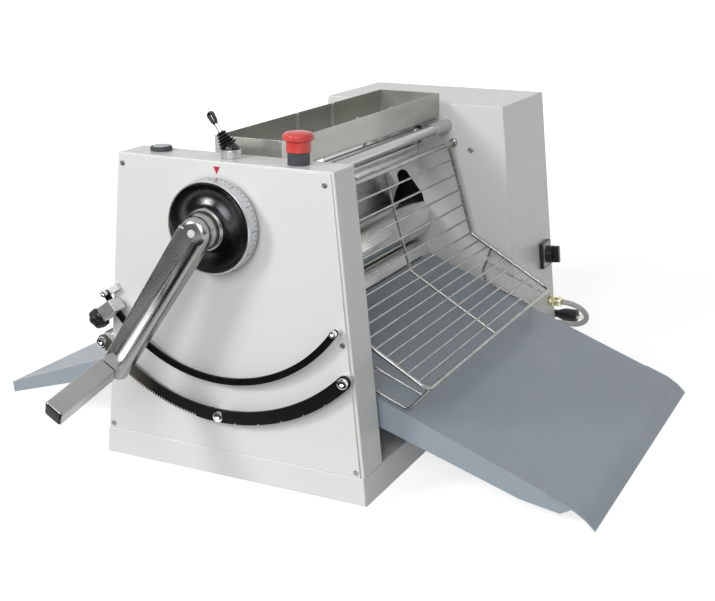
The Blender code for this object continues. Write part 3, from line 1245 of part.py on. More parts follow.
def add_guides(shell, wall, toward):
    """Weld the carriage's two guide rails and their foot to the inside of a wall."""
    inner = HANGER_HALF_WIDTH + GAP
    outer = inner + GUIDE_WIDTH
    low, high = sorted((wall, wall + toward * (GUIDE_THICKNESS + SHEET / 2)))
    foot = GUIDE_BOTTOM + GUIDE_FOOT
    outline = [(-outer, GUIDE_BOTTOM), (-outer, GUIDE_TOP), (-inner, GUIDE_TOP), (-inner, foot),
               (inner, foot),
               (inner, GUIDE_TOP), (outer, GUIDE_TOP), (outer, GUIDE_BOTTOM)]
    frame = prism("guides", outline, "Y", low, high)
    keep = BEARING_RADIUS + OVERRUN
    near, far = (ROLLER_X, low - OVERRUN, LOWER_ROLLER_Z), (ROLLER_X, high + OVERRUN, LOWER_ROLLER_Z)
    cut(frame, rod("cutter", near, far, keep))
    unite(shell, frame)


def add_ledge(shell, low, high):
    """Weld on the shelf that carries one end of the flour bin."""
    top = BIN_TOP - BIN_DEPTH - GAP
    unite(shell, block("ledge", (BIN_LEFT, BIN_RIGHT), (low, high), (top - SHEET, top)))


def cam_outline():
    """A cam that lifts its follower by the same height for each degree of crank."""
    pitch = CAM_BASE_RADIUS + GAP + FOLLOWER_RADIUS
    margin = math.radians(6.0)
    first, last = -CRANK_BACK - margin, CRANK_FORWARD + margin
    points = []
    for step in range(CAM_STEPS + 1):
        turn = first + (last - first) * step / CAM_STEPS
        radius = pitch + LIFT_PER_RADIAN * turn
        angle = math.pi / 2 - turn
        centre = Vector((math.cos(angle), math.sin(angle))) * radius
        travel = Vector((math.sin(angle), -math.cos(angle))) * radius
        travel += Vector((math.cos(angle), math.sin(angle))) * LIFT_PER_RADIAN
        normal = Vector((-travel.y, travel.x)).normalized()
        if normal.dot(centre) > 0:
            normal = -normal
        points.append(centre + normal * (FOLLOWER_RADIUS + GAP))
    start_angle = math.atan2(points[-1].y, points[-1].x)
    end_angle = math.atan2(points[0].y, points[0].x) - math.tau
    big, small = points[-1].length, points[0].length
    steps = 12
    for step in range(1, steps):
        share = step / steps
        angle = start_angle + (end_angle - start_angle) * share
        ease = 0.5 - 0.5 * math.cos(math.pi * min(1, share * 1.6))
        radius = big + (small - big) * ease
        points.append(Vector((math.cos(angle), math.sin(angle))) * radius)
    return [(CRANK_X + point.x, CRANK_Z + point.y) for point in points]


def make_cams():
    outline = cam_outline()
    for name, y, toward in (("lift_cam_front", FRONT_HANGER_Y, -1), ("lift_cam_rear", REAR_HANGER_Y, 1)):
        near = y + toward * (HANGER_THICKNESS / 2 + OVERRUN)
        low, high = sorted((near, near + toward * CAM_THICKNESS))
        cam = prism(name, outline, "Y", low, high)
        start, end = (CRANK_X, low - OVERRUN, CRANK_Z), (CRANK_X, high + OVERRUN, CRANK_Z)
        cut(cam, rod("cutter", start, end, SHAFT_RADIUS + GAP))
        finish(cam, name, "machined", (CRANK_X, 0, CRANK_Z))


def make_scrapers():
    lean = Vector((SCRAPER_BEND_X - SCRAPER_TOP_X, SCRAPER_BEND_Z - SCRAPER_TOP_Z)).normalized()
    square = Vector((lean.y, -lean.x)) * SCRAPER_THICKNESS
    to_roller = Vector((ROLLER_X - SCRAPER_BEND_X, UPPER_ROLLER_Z - SCRAPER_BEND_Z))
    tip_reach = to_roller.length - ROLLER_RADIUS - SCRAPER_CLEARANCE
    tip = Vector((SCRAPER_BEND_X, SCRAPER_BEND_Z)) + to_roller.normalized() * tip_reach
    top = Vector((SCRAPER_TOP_X, SCRAPER_TOP_Z))
    bend = Vector((SCRAPER_BEND_X, SCRAPER_BEND_Z))
    heading = to_roller.normalized()
    drop = Vector((heading.y, -heading.x)) * SCRAPER_THICKNESS
    outline = [top, bend, tip, tip + drop, bend + drop + square, top + square]
    blade = prism("upper_scraper", [tuple(p) for p in outline], "Y", FRONT_WALL + ROLLER_END_PLAY,
                  REAR_WALL - ROLLER_END_PLAY)
    near = FRONT_HANGER_Y + HANGER_THICKNESS / 2 + GAP
    far = REAR_HANGER_Y - HANGER_THICKNESS / 2 - GAP
    heel = bend + heading * (SCRAPER_THICKNESS * 2)
    tab = [heel, tip, tip + drop, heel + drop]
    unite(blade, prism("tab", [tuple(p) for p in tab], "Y", near, far))
    finish(blade, "upper_scraper", "steel")
    for name, side in (("lower_scraper_right", 1), ("lower_scraper_left", -1)):
        out = Vector((math.cos(LOWER_SCRAPER_ANGLE) * side, -math.sin(LOWER_SCRAPER_ANGLE)))
        centre = Vector((ROLLER_X, LOWER_ROLLER_Z))
        start = centre + out * (ROLLER_RADIUS + SCRAPER_CLEARANCE)
        end = start + out * LOWER_SCRAPER_LENGTH
        wide = Vector((-out.y, out.x)) * side
        thin = wide * SCRAPER_THICKNESS
        thick = wide * SCRAPER_BAR
        foot = end - out * SCRAPER_BAR
        outline = [start, start + thin, foot + thin, foot + thick, end + thick, end]
        strip = prism(name, [tuple(p) for p in outline], "Y", FRONT_WALL + GAP, REAR_WALL - GAP)
        finish(strip, name, "steel")


def gear_outline(z, phase):
    points = []
    pitch = math.tau / GEAR_TEETH
    tip = GEAR_PITCH_RADIUS + GEAR_ADDENDUM
    root = GEAR_PITCH_RADIUS - GEAR_DEDENDUM
    half = pitch * GEAR_TOOTH_SHARE / 2
    tip_half = half * GEAR_TIP_SHARE
    root_half = half * (2 - GEAR_TIP_SHARE)
    for tooth in range(GEAR_TEETH):
        middle = math.pi / 2 + (tooth + phase) * pitch
        for offset, radius in ((-root_half, root), (-tip_half, tip), (tip_half, tip), (root_half, root)):
            angle = middle + offset
            points.append((ROLLER_X + radius * math.cos(angle), z + radius * math.sin(angle)))
    return points


def loop_outline(first, second, first_radius, second_radius):
    """An open belt line round two wheels, outside both."""
    centre_line = Vector(second) - Vector(first)
    heading = math.atan2(centre_line.y, centre_line.x)
    swing = math.acos((first_radius - second_radius) / centre_line.length)
    points = []
    steps = 10
    for centre, radius, start, end in ((first, first_radius, heading + swing, heading + math.tau - swing),
                                       (second, second_radius, heading - swing, heading + swing)):
        for step in range(steps + 1):
            angle = start + (end - start) * step / steps
            points.append((centre[0] + radius * math.cos(angle), centre[1] + radius * math.sin(angle)))
    return points


def make_chain(name, first, second, first_radius, second_radius, y, origin=None):
    inner = CHAIN_CLEARANCE
    outer = CHAIN_CLEARANCE + CHAIN_THICKNESS
    low, high = y - CHAIN_WIDTH / 2, y + CHAIN_WIDTH / 2
    around = loop_outline(first, second, first_radius + outer, second_radius + outer)
    loop = prism(name, around, "Y", low, high)
    hole = loop_outline(first, second, first_radius + inner, second_radius + inner)
    cut(loop, prism("cutter", hole, "Y", low - OVERRUN, high + OVERRUN))
    finish(loop, name, "black_steel", origin)


def sprocket(name, x, z, radius, y, bore):
    profile = [(bore, 0), (radius, 0), (radius, SPROCKET_WIDTH), (bore, SPROCKET_WIDTH)]
    return turned(name, profile, (x, y - SPROCKET_WIDTH / 2, z), (0, 1, 0), ring=True)


def make_drive():
    low, high = GEAR_Y - GEAR_WIDTH / 2, GEAR_Y + GEAR_WIDTH / 2
    journal = JOURNAL_RADIUS + GAP
    lower = prism("lower_gear", gear_outline(LOWER_ROLLER_Z, 0), "Y", low, high)
    hub = rod("hub", (ROLLER_X, high - OVERRUN, LOWER_ROLLER_Z), (ROLLER_X, MAIN_CHAIN_Y, LOWER_ROLLER_Z),
              JOURNAL_RADIUS * 1.6)
    wheel = rod("wheel", (ROLLER_X, MAIN_CHAIN_Y - SPROCKET_WIDTH / 2, LOWER_ROLLER_Z),
                (ROLLER_X, MAIN_CHAIN_Y + SPROCKET_WIDTH / 2, LOWER_ROLLER_Z), SPROCKET_RADIUS)
    unite(lower, hub, wheel)
    cut(lower, rod("cutter", (ROLLER_X, low - OVERRUN, LOWER_ROLLER_Z),
                   (ROLLER_X, MAIN_CHAIN_Y + SPROCKET_WIDTH, LOWER_ROLLER_Z), journal))
    finish(lower, "lower_gear", "machined", (ROLLER_X, 0, LOWER_ROLLER_Z))
    counter = prism("counter_gear", gear_outline(COUNTERSHAFT_Z, 0.5), "Y", low, high)
    wheel = rod("wheel", (ROLLER_X, UPPER_CHAIN_Y - SPROCKET_WIDTH / 2, COUNTERSHAFT_Z),
                (ROLLER_X, UPPER_CHAIN_Y + SPROCKET_WIDTH / 2, COUNTERSHAFT_Z), SPROCKET_RADIUS)
    hub = rod("hub", (ROLLER_X, UPPER_CHAIN_Y, COUNTERSHAFT_Z), (ROLLER_X, low + OVERRUN, COUNTERSHAFT_Z),
              COUNTERSHAFT_RADIUS * 1.6)
    unite(counter, hub, wheel)
    cut(counter, rod("cutter", (ROLLER_X, UPPER_CHAIN_Y - SPROCKET_WIDTH, COUNTERSHAFT_Z),
                     (ROLLER_X, high + OVERRUN, COUNTERSHAFT_Z), COUNTERSHAFT_RADIUS + GAP))
    finish(counter, "counter_gear", "machined", (ROLLER_X, 0, COUNTERSHAFT_Z))
    upper = sprocket("upper_sprocket", ROLLER_X, UPPER_ROLLER_Z, SPROCKET_RADIUS, UPPER_CHAIN_Y, journal)
    finish(upper, "upper_sprocket", "machined", (ROLLER_X, 0, UPPER_ROLLER_Z))
    make_chain("upper_chain", (ROLLER_X, COUNTERSHAFT_Z), (ROLLER_X, UPPER_ROLLER_Z), SPROCKET_RADIUS,
               SPROCKET_RADIUS, UPPER_CHAIN_Y)
    make_chain("drive_chain", (MOTOR_X, MOTOR_Z), (ROLLER_X, LOWER_ROLLER_Z), MOTOR_SPROCKET_RADIUS,
               SPROCKET_RADIUS, MAIN_CHAIN_Y)
    make_motor()


def make_motor():
    face = MAIN_CHAIN_Y + SPROCKET_WIDTH + OVERRUN
    x_range = (MOTOR_X - GEARBOX_LENGTH / 2, MOTOR_X + GEARBOX_LENGTH / 2)
    floor = PLINTH_HEIGHT + GAP
    box = block("gear_motor", x_range, (face, face + GEARBOX_DEPTH), (floor, floor + GEARBOX_HEIGHT))
    middle = face + GEARBOX_DEPTH / 2
    end = x_range[0] - MOTOR_LENGTH
    centre_z = floor + MOTOR_RADIUS + OVERRUN
    unite(box, rod("can", (x_range[0] + OVERRUN, middle, centre_z), (end, middle, centre_z), MOTOR_RADIUS))
    output_end = MAIN_CHAIN_Y - SPROCKET_WIDTH / 2
    output_start = (MOTOR_X, face + OVERRUN, MOTOR_Z)
    unite(box, rod("output", output_start, (MOTOR_X, output_end, MOTOR_Z), OUTPUT_RADIUS))
    finish(box, "gear_motor", "machined")
    bore = OUTPUT_RADIUS + GAP
    wheel = sprocket("motor_sprocket", MOTOR_X, MOTOR_Z, MOTOR_SPROCKET_RADIUS, MAIN_CHAIN_Y, bore)
    finish(wheel, "motor_sprocket", "machined", (MOTOR_X, 0, MOTOR_Z))


def make_bin():
    far = REAR_WALL - GAP
    floor = BIN_TOP - BIN_DEPTH
    tray = block("flour_bin", (BIN_LEFT, BIN_RIGHT), (BIN_NEAR, far), (floor, BIN_TOP))
    cut(tray, block("cutter", (BIN_LEFT + BIN_WALL, BIN_RIGHT - BIN_WALL),
                    (BIN_NEAR + BIN_WALL, far - BIN_WALL), (floor + BIN_WALL, BIN_TOP + OVERRUN)))
    for share in BIN_FIN_SHARES:
        y = BIN_NEAR + (far - BIN_NEAR) * share
        for inner, toward in ((BIN_LEFT + BIN_WALL, 1), (BIN_RIGHT - BIN_WALL, -1)):
            x_range = sorted((inner - toward * BIN_WALL / 2, inner + toward * BIN_FIN_REACH))
            unite(tray, block("fin", x_range, (y, y + BIN_FIN_THICKNESS), (floor + BIN_WALL / 2, BIN_TOP)))
    finish(tray, "flour_bin", "steel")


def wire(name, points, radius, sides=WIRE_SIDES):
    """A bent round wire as one closed tube with mitred corners."""
    points = [Vector(point) for point in points]
    build = bmesh.new()
    loops = []
    reference = Vector((0, 1, 0))
    first = (points[1] - points[0]).normalized()
    if abs(first.dot(reference)) > 0.9:
        reference = Vector((0, 0, 1))
    for index, point in enumerate(points):
        before = (point - points[index - 1]).normalized() if index else None
        after = (points[index + 1] - point).normalized() if index + 1 < len(points) else None
        heading = before or after
        if before and after:
            heading = (before + after).normalized()
        run = after or before
        side = heading.cross(reference).normalized()
        other = side.cross(heading).normalized()
        stretch = 1 / max(0.5, heading.dot(run))
        loop = []
        for step in range(sides):
            angle = math.tau * step / sides
            loop.append(build.verts.new(point + side * (math.cos(angle) * radius * stretch)
                                        + other * (math.sin(angle) * radius)))
        loops.append(loop)
    build.faces.new(loops[0])
    build.faces.new(loops[-1][::-1])
    for first_loop, second_loop in zip(loops, loops[1:]):
        for step in range(sides):
            after = (step + 1) % sides
            build.faces.new((first_loop[step], first_loop[after], second_loop[after], second_loop[step]))
    return new_object(name, build)


def guard_path(side):
    return [(side * GUARD_X, GUARD_Z), (side * GUARD_BEND_X, GUARD_BEND_Z),
            (side * GUARD_REACH_X, GUARD_REACH_Z)]


def on_path(path, part, share):
    (x0, z0), (x1, z1) = path[part], path[part + 1]
    return x0 + (x1 - x0) * share, z0 + (z1 - z0) * share


def make_guard(name, side, chute_top):
    near = FRONT_WALL + GUARD_END_CLEARANCE
    far = REAR_WALL - GUARD_FAR_CLEARANCE
    path = guard_path(side)
    wall_near, wall_far = FRONT_WALL, REAR_WALL
    start = wall_near - SHEET
    length = wall_far + SHEET - start
    collar = SHEET + GAP
    pivot_profile = [(0, 0), (GUARD_PIVOT_RADIUS, 0), (GUARD_PIVOT_RADIUS, collar),
                     (GUARD_COLLAR_RADIUS, collar), (GUARD_COLLAR_RADIUS, collar + GUARD_COLLAR_LENGTH),
                     (GUARD_PIVOT_RADIUS, collar + GUARD_COLLAR_LENGTH),
                     (GUARD_PIVOT_RADIUS, length - collar - GUARD_COLLAR_LENGTH),
                     (GUARD_COLLAR_RADIUS, length - collar - GUARD_COLLAR_LENGTH),
                     (GUARD_COLLAR_RADIUS, length - collar), (GUARD_PIVOT_RADIUS, length - collar),
                     (GUARD_PIVOT_RADIUS, length), (0, length)]
    place = (side * GUARD_X, start, GUARD_Z)
    basket = turned(name, pivot_profile, place, (0, 1, 0), SMALL_SIDES)
    frame = [(path[0][0], near, path[0][1]), (path[1][0], near, path[1][1]), (path[2][0], near, path[2][1]),
             (path[2][0], far, path[2][1]), (path[1][0], far, path[1][1]), (path[0][0], far, path[0][1])]
    pieces = [wire("frame", frame[:3], GUARD_ROD_RADIUS), wire("frame", frame[3:], GUARD_ROD_RADIUS),
              wire("frame", [frame[2], frame[3]], GUARD_ROD_RADIUS, 8)]
    first = on_path(path, 0, 1 / GUARD_STEEP_WIRES)
    middle = [(first[0], GUARD_MIDDLE_Y, first[1]), (path[1][0], GUARD_MIDDLE_Y, path[1][1]),
              (path[2][0], GUARD_MIDDLE_Y, path[2][1])]
    pieces.append(wire("middle", middle, GUARD_WIRE_RADIUS * 1.2))
    places = [on_path(path, 0, (index + 1) / GUARD_STEEP_WIRES) for index in range(GUARD_STEEP_WIRES)]
    places += [on_path(path, 1, (index + 1) / (GUARD_SLOPE_WIRES + 1)) for index in range(GUARD_SLOPE_WIRES)]
    for x, z in places:
        pieces.append(wire("cross", [(x, near, z), (x, far, z)], GUARD_WIRE_RADIUS))
    top_share, in_share, low_share, out_share = CHEEK_SHARES
    span = GUARD_REACH_X - GUARD_BEND_X
    for y in (near, far):
        joint_x, joint_z = on_path(path, 1, top_share)
        inner_x = GUARD_BEND_X + span * in_share
        low_x = GUARD_BEND_X + span * low_share
        out_x = GUARD_BEND_X + span * out_share
        inner_z = chute_line(chute_top, inner_x) + CHEEK_REST * 2 + PEG_RISE
        loop = [(joint_x, y, joint_z), (side * inner_x, y, inner_z),
                (side * low_x, y, chute_line(chute_top, low_x) + CHEEK_REST),
                (side * out_x, y, chute_line(chute_top, out_x) + CHEEK_REST),
                (path[2][0], y, path[2][1])]
        pieces.append(wire("cheek", loop, GUARD_WIRE_RADIUS * 1.25))
        first_share, last_share = RUNG_SHARES
        corners = [Vector(corner) for corner in loop]
        rung = [corners[1].lerp(corners[0], first_share), corners[3].lerp(corners[4], last_share)]
        pieces.append(wire("rung", rung, GUARD_WIRE_RADIUS))
    unite(basket, *pieces)
    finish(basket, name, "steel", place)


def make_chute(name, side, top, flange, lip):
    outer = [(side * x, z) for x, z in top]
    lower = [(side * x, z) for x, z in flange]
    body = prism(name, outer + lower, "Y", CHUTE_NEAR, CHUTE_FAR)
    drop = CHUTE_SHEET * 1.06
    inside = [(side * (x - OVERRUN if index == 0 else x), z - drop) for index, (x, z) in enumerate(top)]
    end_x = top[-1][0]
    tail = chute_line(top, end_x + OVERRUN * 4) - drop
    inside[-1] = (side * (end_x + OVERRUN * 4), tail)
    low = min(z for x, z in flange) - OVERRUN * 20
    inside += [(side * (end_x + OVERRUN * 4), low), (side * (top[0][0] - OVERRUN), low)]
    if not lip:
        keep = (flange[0][0], end_x)
        inside[-3] = (side * (min(keep) - CHUTE_SHEET), chute_line(top, min(keep) - CHUTE_SHEET) - drop)
        inside[-2] = (side * (min(keep) - CHUTE_SHEET), low)
    near, far = CHUTE_NEAR + CHUTE_SHEET, CHUTE_FAR - CHUTE_SHEET
    cut(body, prism("cutter", inside, "Y", near, far))
    for x, z in peg_places():
        if x * side < 0:
            continue
        reach = PEG_RADIUS + GAP
        walls = ((CHUTE_NEAR - OVERRUN, near + OVERRUN), (far - OVERRUN, CHUTE_FAR + OVERRUN))
        for wall in walls:
            cut(body, block("cutter", (x - reach, x + reach), wall, (low, z)))
            cut(body, rod("cutter", (x, wall[0], z), (x, wall[1], z), reach, SMALL_SIDES))
    if lip:
        path = [(LIP_START_X, chute_line(top, LIP_START_X)), top[-1], *lip]
        upper = [(side * x, z) for x, z in path]
        under = [(side * (x - CHUTE_SHEET * 0.35), z - CHUTE_SHEET) for x, z in path[::-1]]
        apron = prism("lip", upper + under, "Y", CHUTE_NEAR - LIP_OVERHANG, CHUTE_FAR + LIP_OVERHANG)
        unite(body, apron)
    finish(body, name, "chute_steel")


def build_all():
    for thing in list(bpy.data.objects):
        bpy.data.objects.remove(thing)
    make_base()
    make_front_column()
    make_front_cover()
    make_rear_housing()
    make_ties()
    make_dial()
    make_crank()
    make_sector()
    make_rail()
    make_stop()
    make_joystick()
    make_emergency_stop()
    make_start_button()
    make_switch()
    make_lead()
    make_rollers()
    make_lower_bearings()
    make_hangers()
    make_cams()
    make_scrapers()
    make_drive()
    make_bin()
    make_guard("guard_right", 1, RIGHT_TOP)
    make_guard("guard_left", -1, LEFT_TOP)
    make_chute("chute_right", 1, RIGHT_TOP, RIGHT_FLANGE, RIGHT_LIP)
    make_chute("chute_left", -1, LEFT_TOP, LEFT_FLANGE, None)


build_all()
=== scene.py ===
"""Bench dough sheeter: the looks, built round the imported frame."""

import math

import bpy
from mathutils import Matrix, Vector


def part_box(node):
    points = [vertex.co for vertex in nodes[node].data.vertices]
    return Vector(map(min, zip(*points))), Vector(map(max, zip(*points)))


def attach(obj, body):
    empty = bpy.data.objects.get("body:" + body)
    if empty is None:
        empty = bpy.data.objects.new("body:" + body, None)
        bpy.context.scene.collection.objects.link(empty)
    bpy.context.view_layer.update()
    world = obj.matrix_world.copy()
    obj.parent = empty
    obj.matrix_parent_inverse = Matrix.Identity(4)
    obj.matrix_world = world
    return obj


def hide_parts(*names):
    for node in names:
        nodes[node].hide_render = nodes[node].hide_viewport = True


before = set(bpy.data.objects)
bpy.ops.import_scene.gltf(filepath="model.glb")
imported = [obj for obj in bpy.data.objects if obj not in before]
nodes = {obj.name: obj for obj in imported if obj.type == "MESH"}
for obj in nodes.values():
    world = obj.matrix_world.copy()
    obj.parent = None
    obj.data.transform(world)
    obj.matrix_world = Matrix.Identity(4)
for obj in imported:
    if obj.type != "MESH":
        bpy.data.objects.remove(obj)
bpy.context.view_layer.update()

# The camera stands where the photograph was taken from, right of the control side and above the bench.
# Its lens and distance come from the machine's own straight edges.
CAMERA_PLACE = (0.8607, -1.7797, 0.7530)
CAMERA_AZIMUTH = math.radians(25.98)
CAMERA_ELEVATION = math.radians(17.11)
LENS_MM = 62.48
SENSOR_MM = 36.0
lens = bpy.data.cameras.new("camera")
lens.sensor_width = SENSOR_MM
lens.lens = LENS_MM
lens.clip_start = 0.05
camera = bpy.data.objects.new("camera", lens)
camera.location = CAMERA_PLACE
camera.rotation_euler = (math.pi / 2 - CAMERA_ELEVATION, 0, CAMERA_AZIMUTH)
bpy.context.scene.collection.objects.link(camera)
bpy.context.scene.camera = camera
bpy.context.scene.view_settings.view_transform = "Standard"

# The mains lead: ten-millimetre grey sheathed cable, out of a brass gland low on the rear housing.
# It drops to the bench behind the machine and lies wound there as for storage, its coil held by one tie, and
# ends in its moulded plug.
CABLE_RADIUS = 0.005
CABLE_LIE = 0.0056
GLAND_SEAT_X = 0.20688
GLAND_Y = 0.3955
GLAND_Z = 0.063
GLAND_LENGTH = 0.022
GLAND_NUT_RADIUS = 0.011
FIT_GAP = 0.0003
LEAD_STRAIGHT = 0.003
LEAD_BEND_RADIUS = 0.038
BEND_STEP = math.radians(15)
TAIL_BEND_RADIUS = 0.040
TAIL_STRAIGHT = 0.004
COIL_CENTRE = Vector((0.060, 0.520))
COIL_INNER_RADIUS = 0.0448
COIL_PITCH = 0.0106
COIL_DIP = 0.002
COIL_LOWER_TURNS = 2.0
COIL_CLIMB_TURNS = 0.5
COIL_UPPER_TURNS = 2.25
COIL_POINTS_PER_TURN = 24
ROUTE_SPACING = 0.009
PLUG_LIE = 0.0128
PLUG_LENGTH = 0.036
PLUG_RADIUS = 0.0125
RELIEF_LENGTH = 0.022
PIN_RADIUS = 0.0024
PIN_LENGTH = 0.017
PIN_SPACING = 0.015
TIE_ANGLE = math.radians(30)
TIE_WIDTH = 0.006
TIE_SHEET = 0.0004
TIE_HALF_REACH = 0.0158
TIE_HALF_HEIGHT = 0.01045
TIE_MIDDLE_RADIUS = 0.0572
TIE_MIDDLE_HEIGHT = 0.01095
TIE_SQUARENESS = 8
TINT_STOPS = (0.32, 0.68)
POLISH_FROM = 0.3
POLISH_TO = 0.7


def coil_points():
    """Two turns in on the bench, half a turn up, and the rest out on top."""
    climbed = COIL_LOWER_TURNS + COIL_CLIMB_TURNS
    total = climbed + COIL_UPPER_TURNS
    points = []
    for step in range(round(total * COIL_POINTS_PER_TURN) + 1):
        turn = step / COIL_POINTS_PER_TURN
        rise = 0
        if turn <= COIL_LOWER_TURNS:
            radius = COIL_INNER_RADIUS + COIL_PITCH * (COIL_LOWER_TURNS - turn)
        elif turn <= climbed:
            share = (turn - COIL_LOWER_TURNS) / COIL_CLIMB_TURNS
            radius = COIL_INNER_RADIUS - COIL_DIP * math.sin(math.pi * share)
            rise = COIL_PITCH * (1 - math.cos(math.pi * share)) / 2
        else:
            radius = COIL_INNER_RADIUS + COIL_PITCH * (turn - climbed)
            rise = COIL_PITCH
        angle = -math.pi / 2 - turn * math.tau
        x = COIL_CENTRE.x + radius * math.cos(angle)
        y = COIL_CENTRE.y + radius * math.sin(angle)
        points.append(Vector((x, y, CABLE_LIE + rise)))
    return points


def lead_route(mouth, coil_start, back):
    """Out of the gland, half a turn down to the bench, and along to the coil."""
    straight = coil_start + back * (CABLE_RADIUS * 3)
    outward = Vector((1, 0, 0))
    drop = (mouth.z - CABLE_LIE) / (LEAD_BEND_RADIUS * 2)
    down = Vector((0, math.sqrt(1 - drop * drop), -drop))
    bend = mouth + outward * LEAD_STRAIGHT
    points = [mouth]
    for step in range(round(math.pi / BEND_STEP) + 1):
        turn = step * BEND_STEP
        points.append(bend + outward * (LEAD_BEND_RADIUS * math.sin(turn))
                      + down * (LEAD_BEND_RADIUS * (1 - math.cos(turn))))
    lands = points[-1]
    steps = 6
    for step in range(1, steps + 1):
        share = step / steps
        eased = share * share * (3 - share * 2)
        points.append(Vector((lands.x + (straight.x - lands.x) * share,
                              lands.y + (straight.y - lands.y) * eased, CABLE_LIE)))
    points.append(coil_start)
    return points


def tail_route(leave, onward):
    """Off the coil's top turn, a quarter turn away from the housing, and down to the plug."""
    away = Vector((1, 0, 0))
    bend = leave + onward * TAIL_STRAIGHT
    points = [leave]
    steps = round(math.pi / 2 / BEND_STEP)
    for step in range(steps + 1):
        turn = math.pi / 2 * step / steps
        share = step / steps
        point = (bend + onward * (TAIL_BEND_RADIUS * math.sin(turn))
                 + away * (TAIL_BEND_RADIUS * (1 - math.cos(turn))))
        point.z += (PLUG_LIE - leave.z) * share * share * (3 - share * 2)
        points.append(point)
    points.append(points[-1] + away * TAIL_STRAIGHT)
    return points


def even_route(points):
    """The same route with its points a set spacing apart, on a smooth curve."""
    padded = [points[0] * 2 - points[1], *points, points[-1] * 2 - points[-2]]
    dense = []
    steps = 12
    for index in range(1, len(padded) - 2):
        before, start, end, after = padded[index - 1:index + 3]
        for step in range(steps):
            t = step / steps
            dense.append((start * 2 + (end - before) * t
                          + (before * 2 - start * 5 + end * 4 - after) * t * t
                          + (start * 3 - before - end * 3 + after) * t * t * t) / 2)
    dense.append(points[-1])
    lengths = [0.0]
    for first, second in zip(dense, dense[1:]):
        lengths.append(lengths[-1] + (second - first).length)
    count = max(2, round(lengths[-1] / ROUTE_SPACING))
    chosen = []
    cursor = 0
    for index in range(count + 1):
        wanted = lengths[-1] * index / count
        while cursor < len(lengths) - 2 and lengths[cursor + 1] < wanted:
            cursor += 1
        span = lengths[cursor + 1] - lengths[cursor]
        share = (wanted - lengths[cursor]) / span if span else 0
        chosen.append(dense[cursor].lerp(dense[cursor + 1], min(1, share)))
    return chosen


coil = coil_points()
back = (coil[0] - coil[1]).normalized()
gland_mouth = Vector((GLAND_SEAT_X + GLAND_LENGTH + FIT_GAP, GLAND_Y, GLAND_Z))
to_coil = even_route(lead_route(gland_mouth, coil[0] + back * FIT_GAP, back))
onward = (coil[-1] - coil[-2]).normalized()
to_plug = even_route(tail_route(coil[-1] + onward * FIT_GAP, onward))
lead_points = to_coil[:-1] + coil + to_plug[1:]
lead_curve = bpy.data.curves.new("mains_lead", "CURVE")
lead_curve.dimensions = "3D"
lead_curve.bevel_depth = CABLE_RADIUS
lead_curve.bevel_resolution = 5
lead_curve.resolution_u = 3
lead_curve.use_fill_caps = True
lead_line = lead_curve.splines.new("BEZIER")
lead_line.bezier_points.add(len(lead_points) - 1)
for knot, point in zip(lead_line.bezier_points, lead_points):
    knot.co = point
    knot.handle_left_type = knot.handle_right_type = "AUTO"
mains_lead = bpy.data.objects.new("mains_lead", lead_curve)
bpy.context.scene.collection.objects.link(mains_lead)


def only(piece):
    """Makes this the one selected and active piece."""
    bpy.ops.object.select_all(action="DESELECT")
    piece.select_set(True)
    bpy.context.view_layer.objects.active = piece


def fresh(name):
    """The piece that an operator has just added, under its name."""
    made = bpy.context.active_object
    made.name = made.data.name = name
    return made


def lathe(name, profile, start, axis, sides=48, across=None):
    """Spins a chain of (radius, height) points about a line, as on a lathe."""
    forward = Vector(axis).normalized()
    side = Vector(across) if across else forward.orthogonal().normalized()
    origin = Vector(start)
    bpy.ops.mesh.primitive_plane_add(size=CABLE_RADIUS, location=origin)
    made = fresh(name)
    bpy.ops.object.transform_apply(location=True, rotation=True, scale=True)
    bpy.ops.object.mode_set(mode="EDIT")
    bpy.ops.mesh.select_mode(type="VERT")
    bpy.ops.mesh.select_all(action="SELECT")
    bpy.ops.mesh.merge(type="CENTER")
    places = [origin + side * radius + forward * height for radius, height in profile]
    bpy.ops.transform.translate(value=places[0] - origin)
    for before, after in zip(places, places[1:]):
        bpy.ops.mesh.extrude_region_move(TRANSFORM_OT_translate={"value": after - before})
    bpy.ops.mesh.select_all(action="SELECT")
    bpy.ops.mesh.spin(steps=sides, angle=math.tau, center=origin, axis=forward)
    bpy.ops.mesh.select_all(action="SELECT")
    bpy.ops.mesh.remove_doubles(threshold=FIT_GAP / 30)
    bpy.ops.mesh.normals_make_consistent(inside=False)
    bpy.ops.object.mode_set(mode="OBJECT")
    return made


def smooth(piece, degrees=35):
    """Shades a piece smooth, apart from edges sharper than this."""
    only(piece)
    bpy.ops.object.shade_smooth_by_angle(angle=math.radians(degrees))
    return piece


def weld(target, others, operation="UNION"):
    """Joins or cuts solids with Boolean modifiers, and removes what was used."""
    for other in others:
        only(target)
        step = target.modifiers.new("weld", "BOOLEAN")
        step.operation = operation
        step.object = other
        bpy.ops.object.modifier_apply(modifier=step.name)
        bpy.data.objects.remove(other)
    return target


def fit(piece, material, body, finish, *stands_for):
    """Gives a piece its material and its body, and hides the nodes it stands for. The finish argument is not
    used.
    """
    piece.data.materials.clear()
    piece.data.materials.append(material)
    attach(piece, body)
    if stands_for:
        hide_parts(*stands_for)
    return piece


def coat(name, colour, roughness, metallic=0.0, **settings):
    """A new finish. Its settings go straight on the shader's own sockets."""
    made = bpy.data.materials.new(name)
    made.use_nodes = True
    shader = made.node_tree.nodes["Principled BSDF"]
    shader.inputs["Base Color"].default_value = (*colour, 1.0)
    shader.inputs["Roughness"].default_value = roughness
    shader.inputs["Metallic"].default_value = metallic
    for socket, value in settings.items():
        shader.inputs[socket.replace("_", " ")].default_value = value
    return made


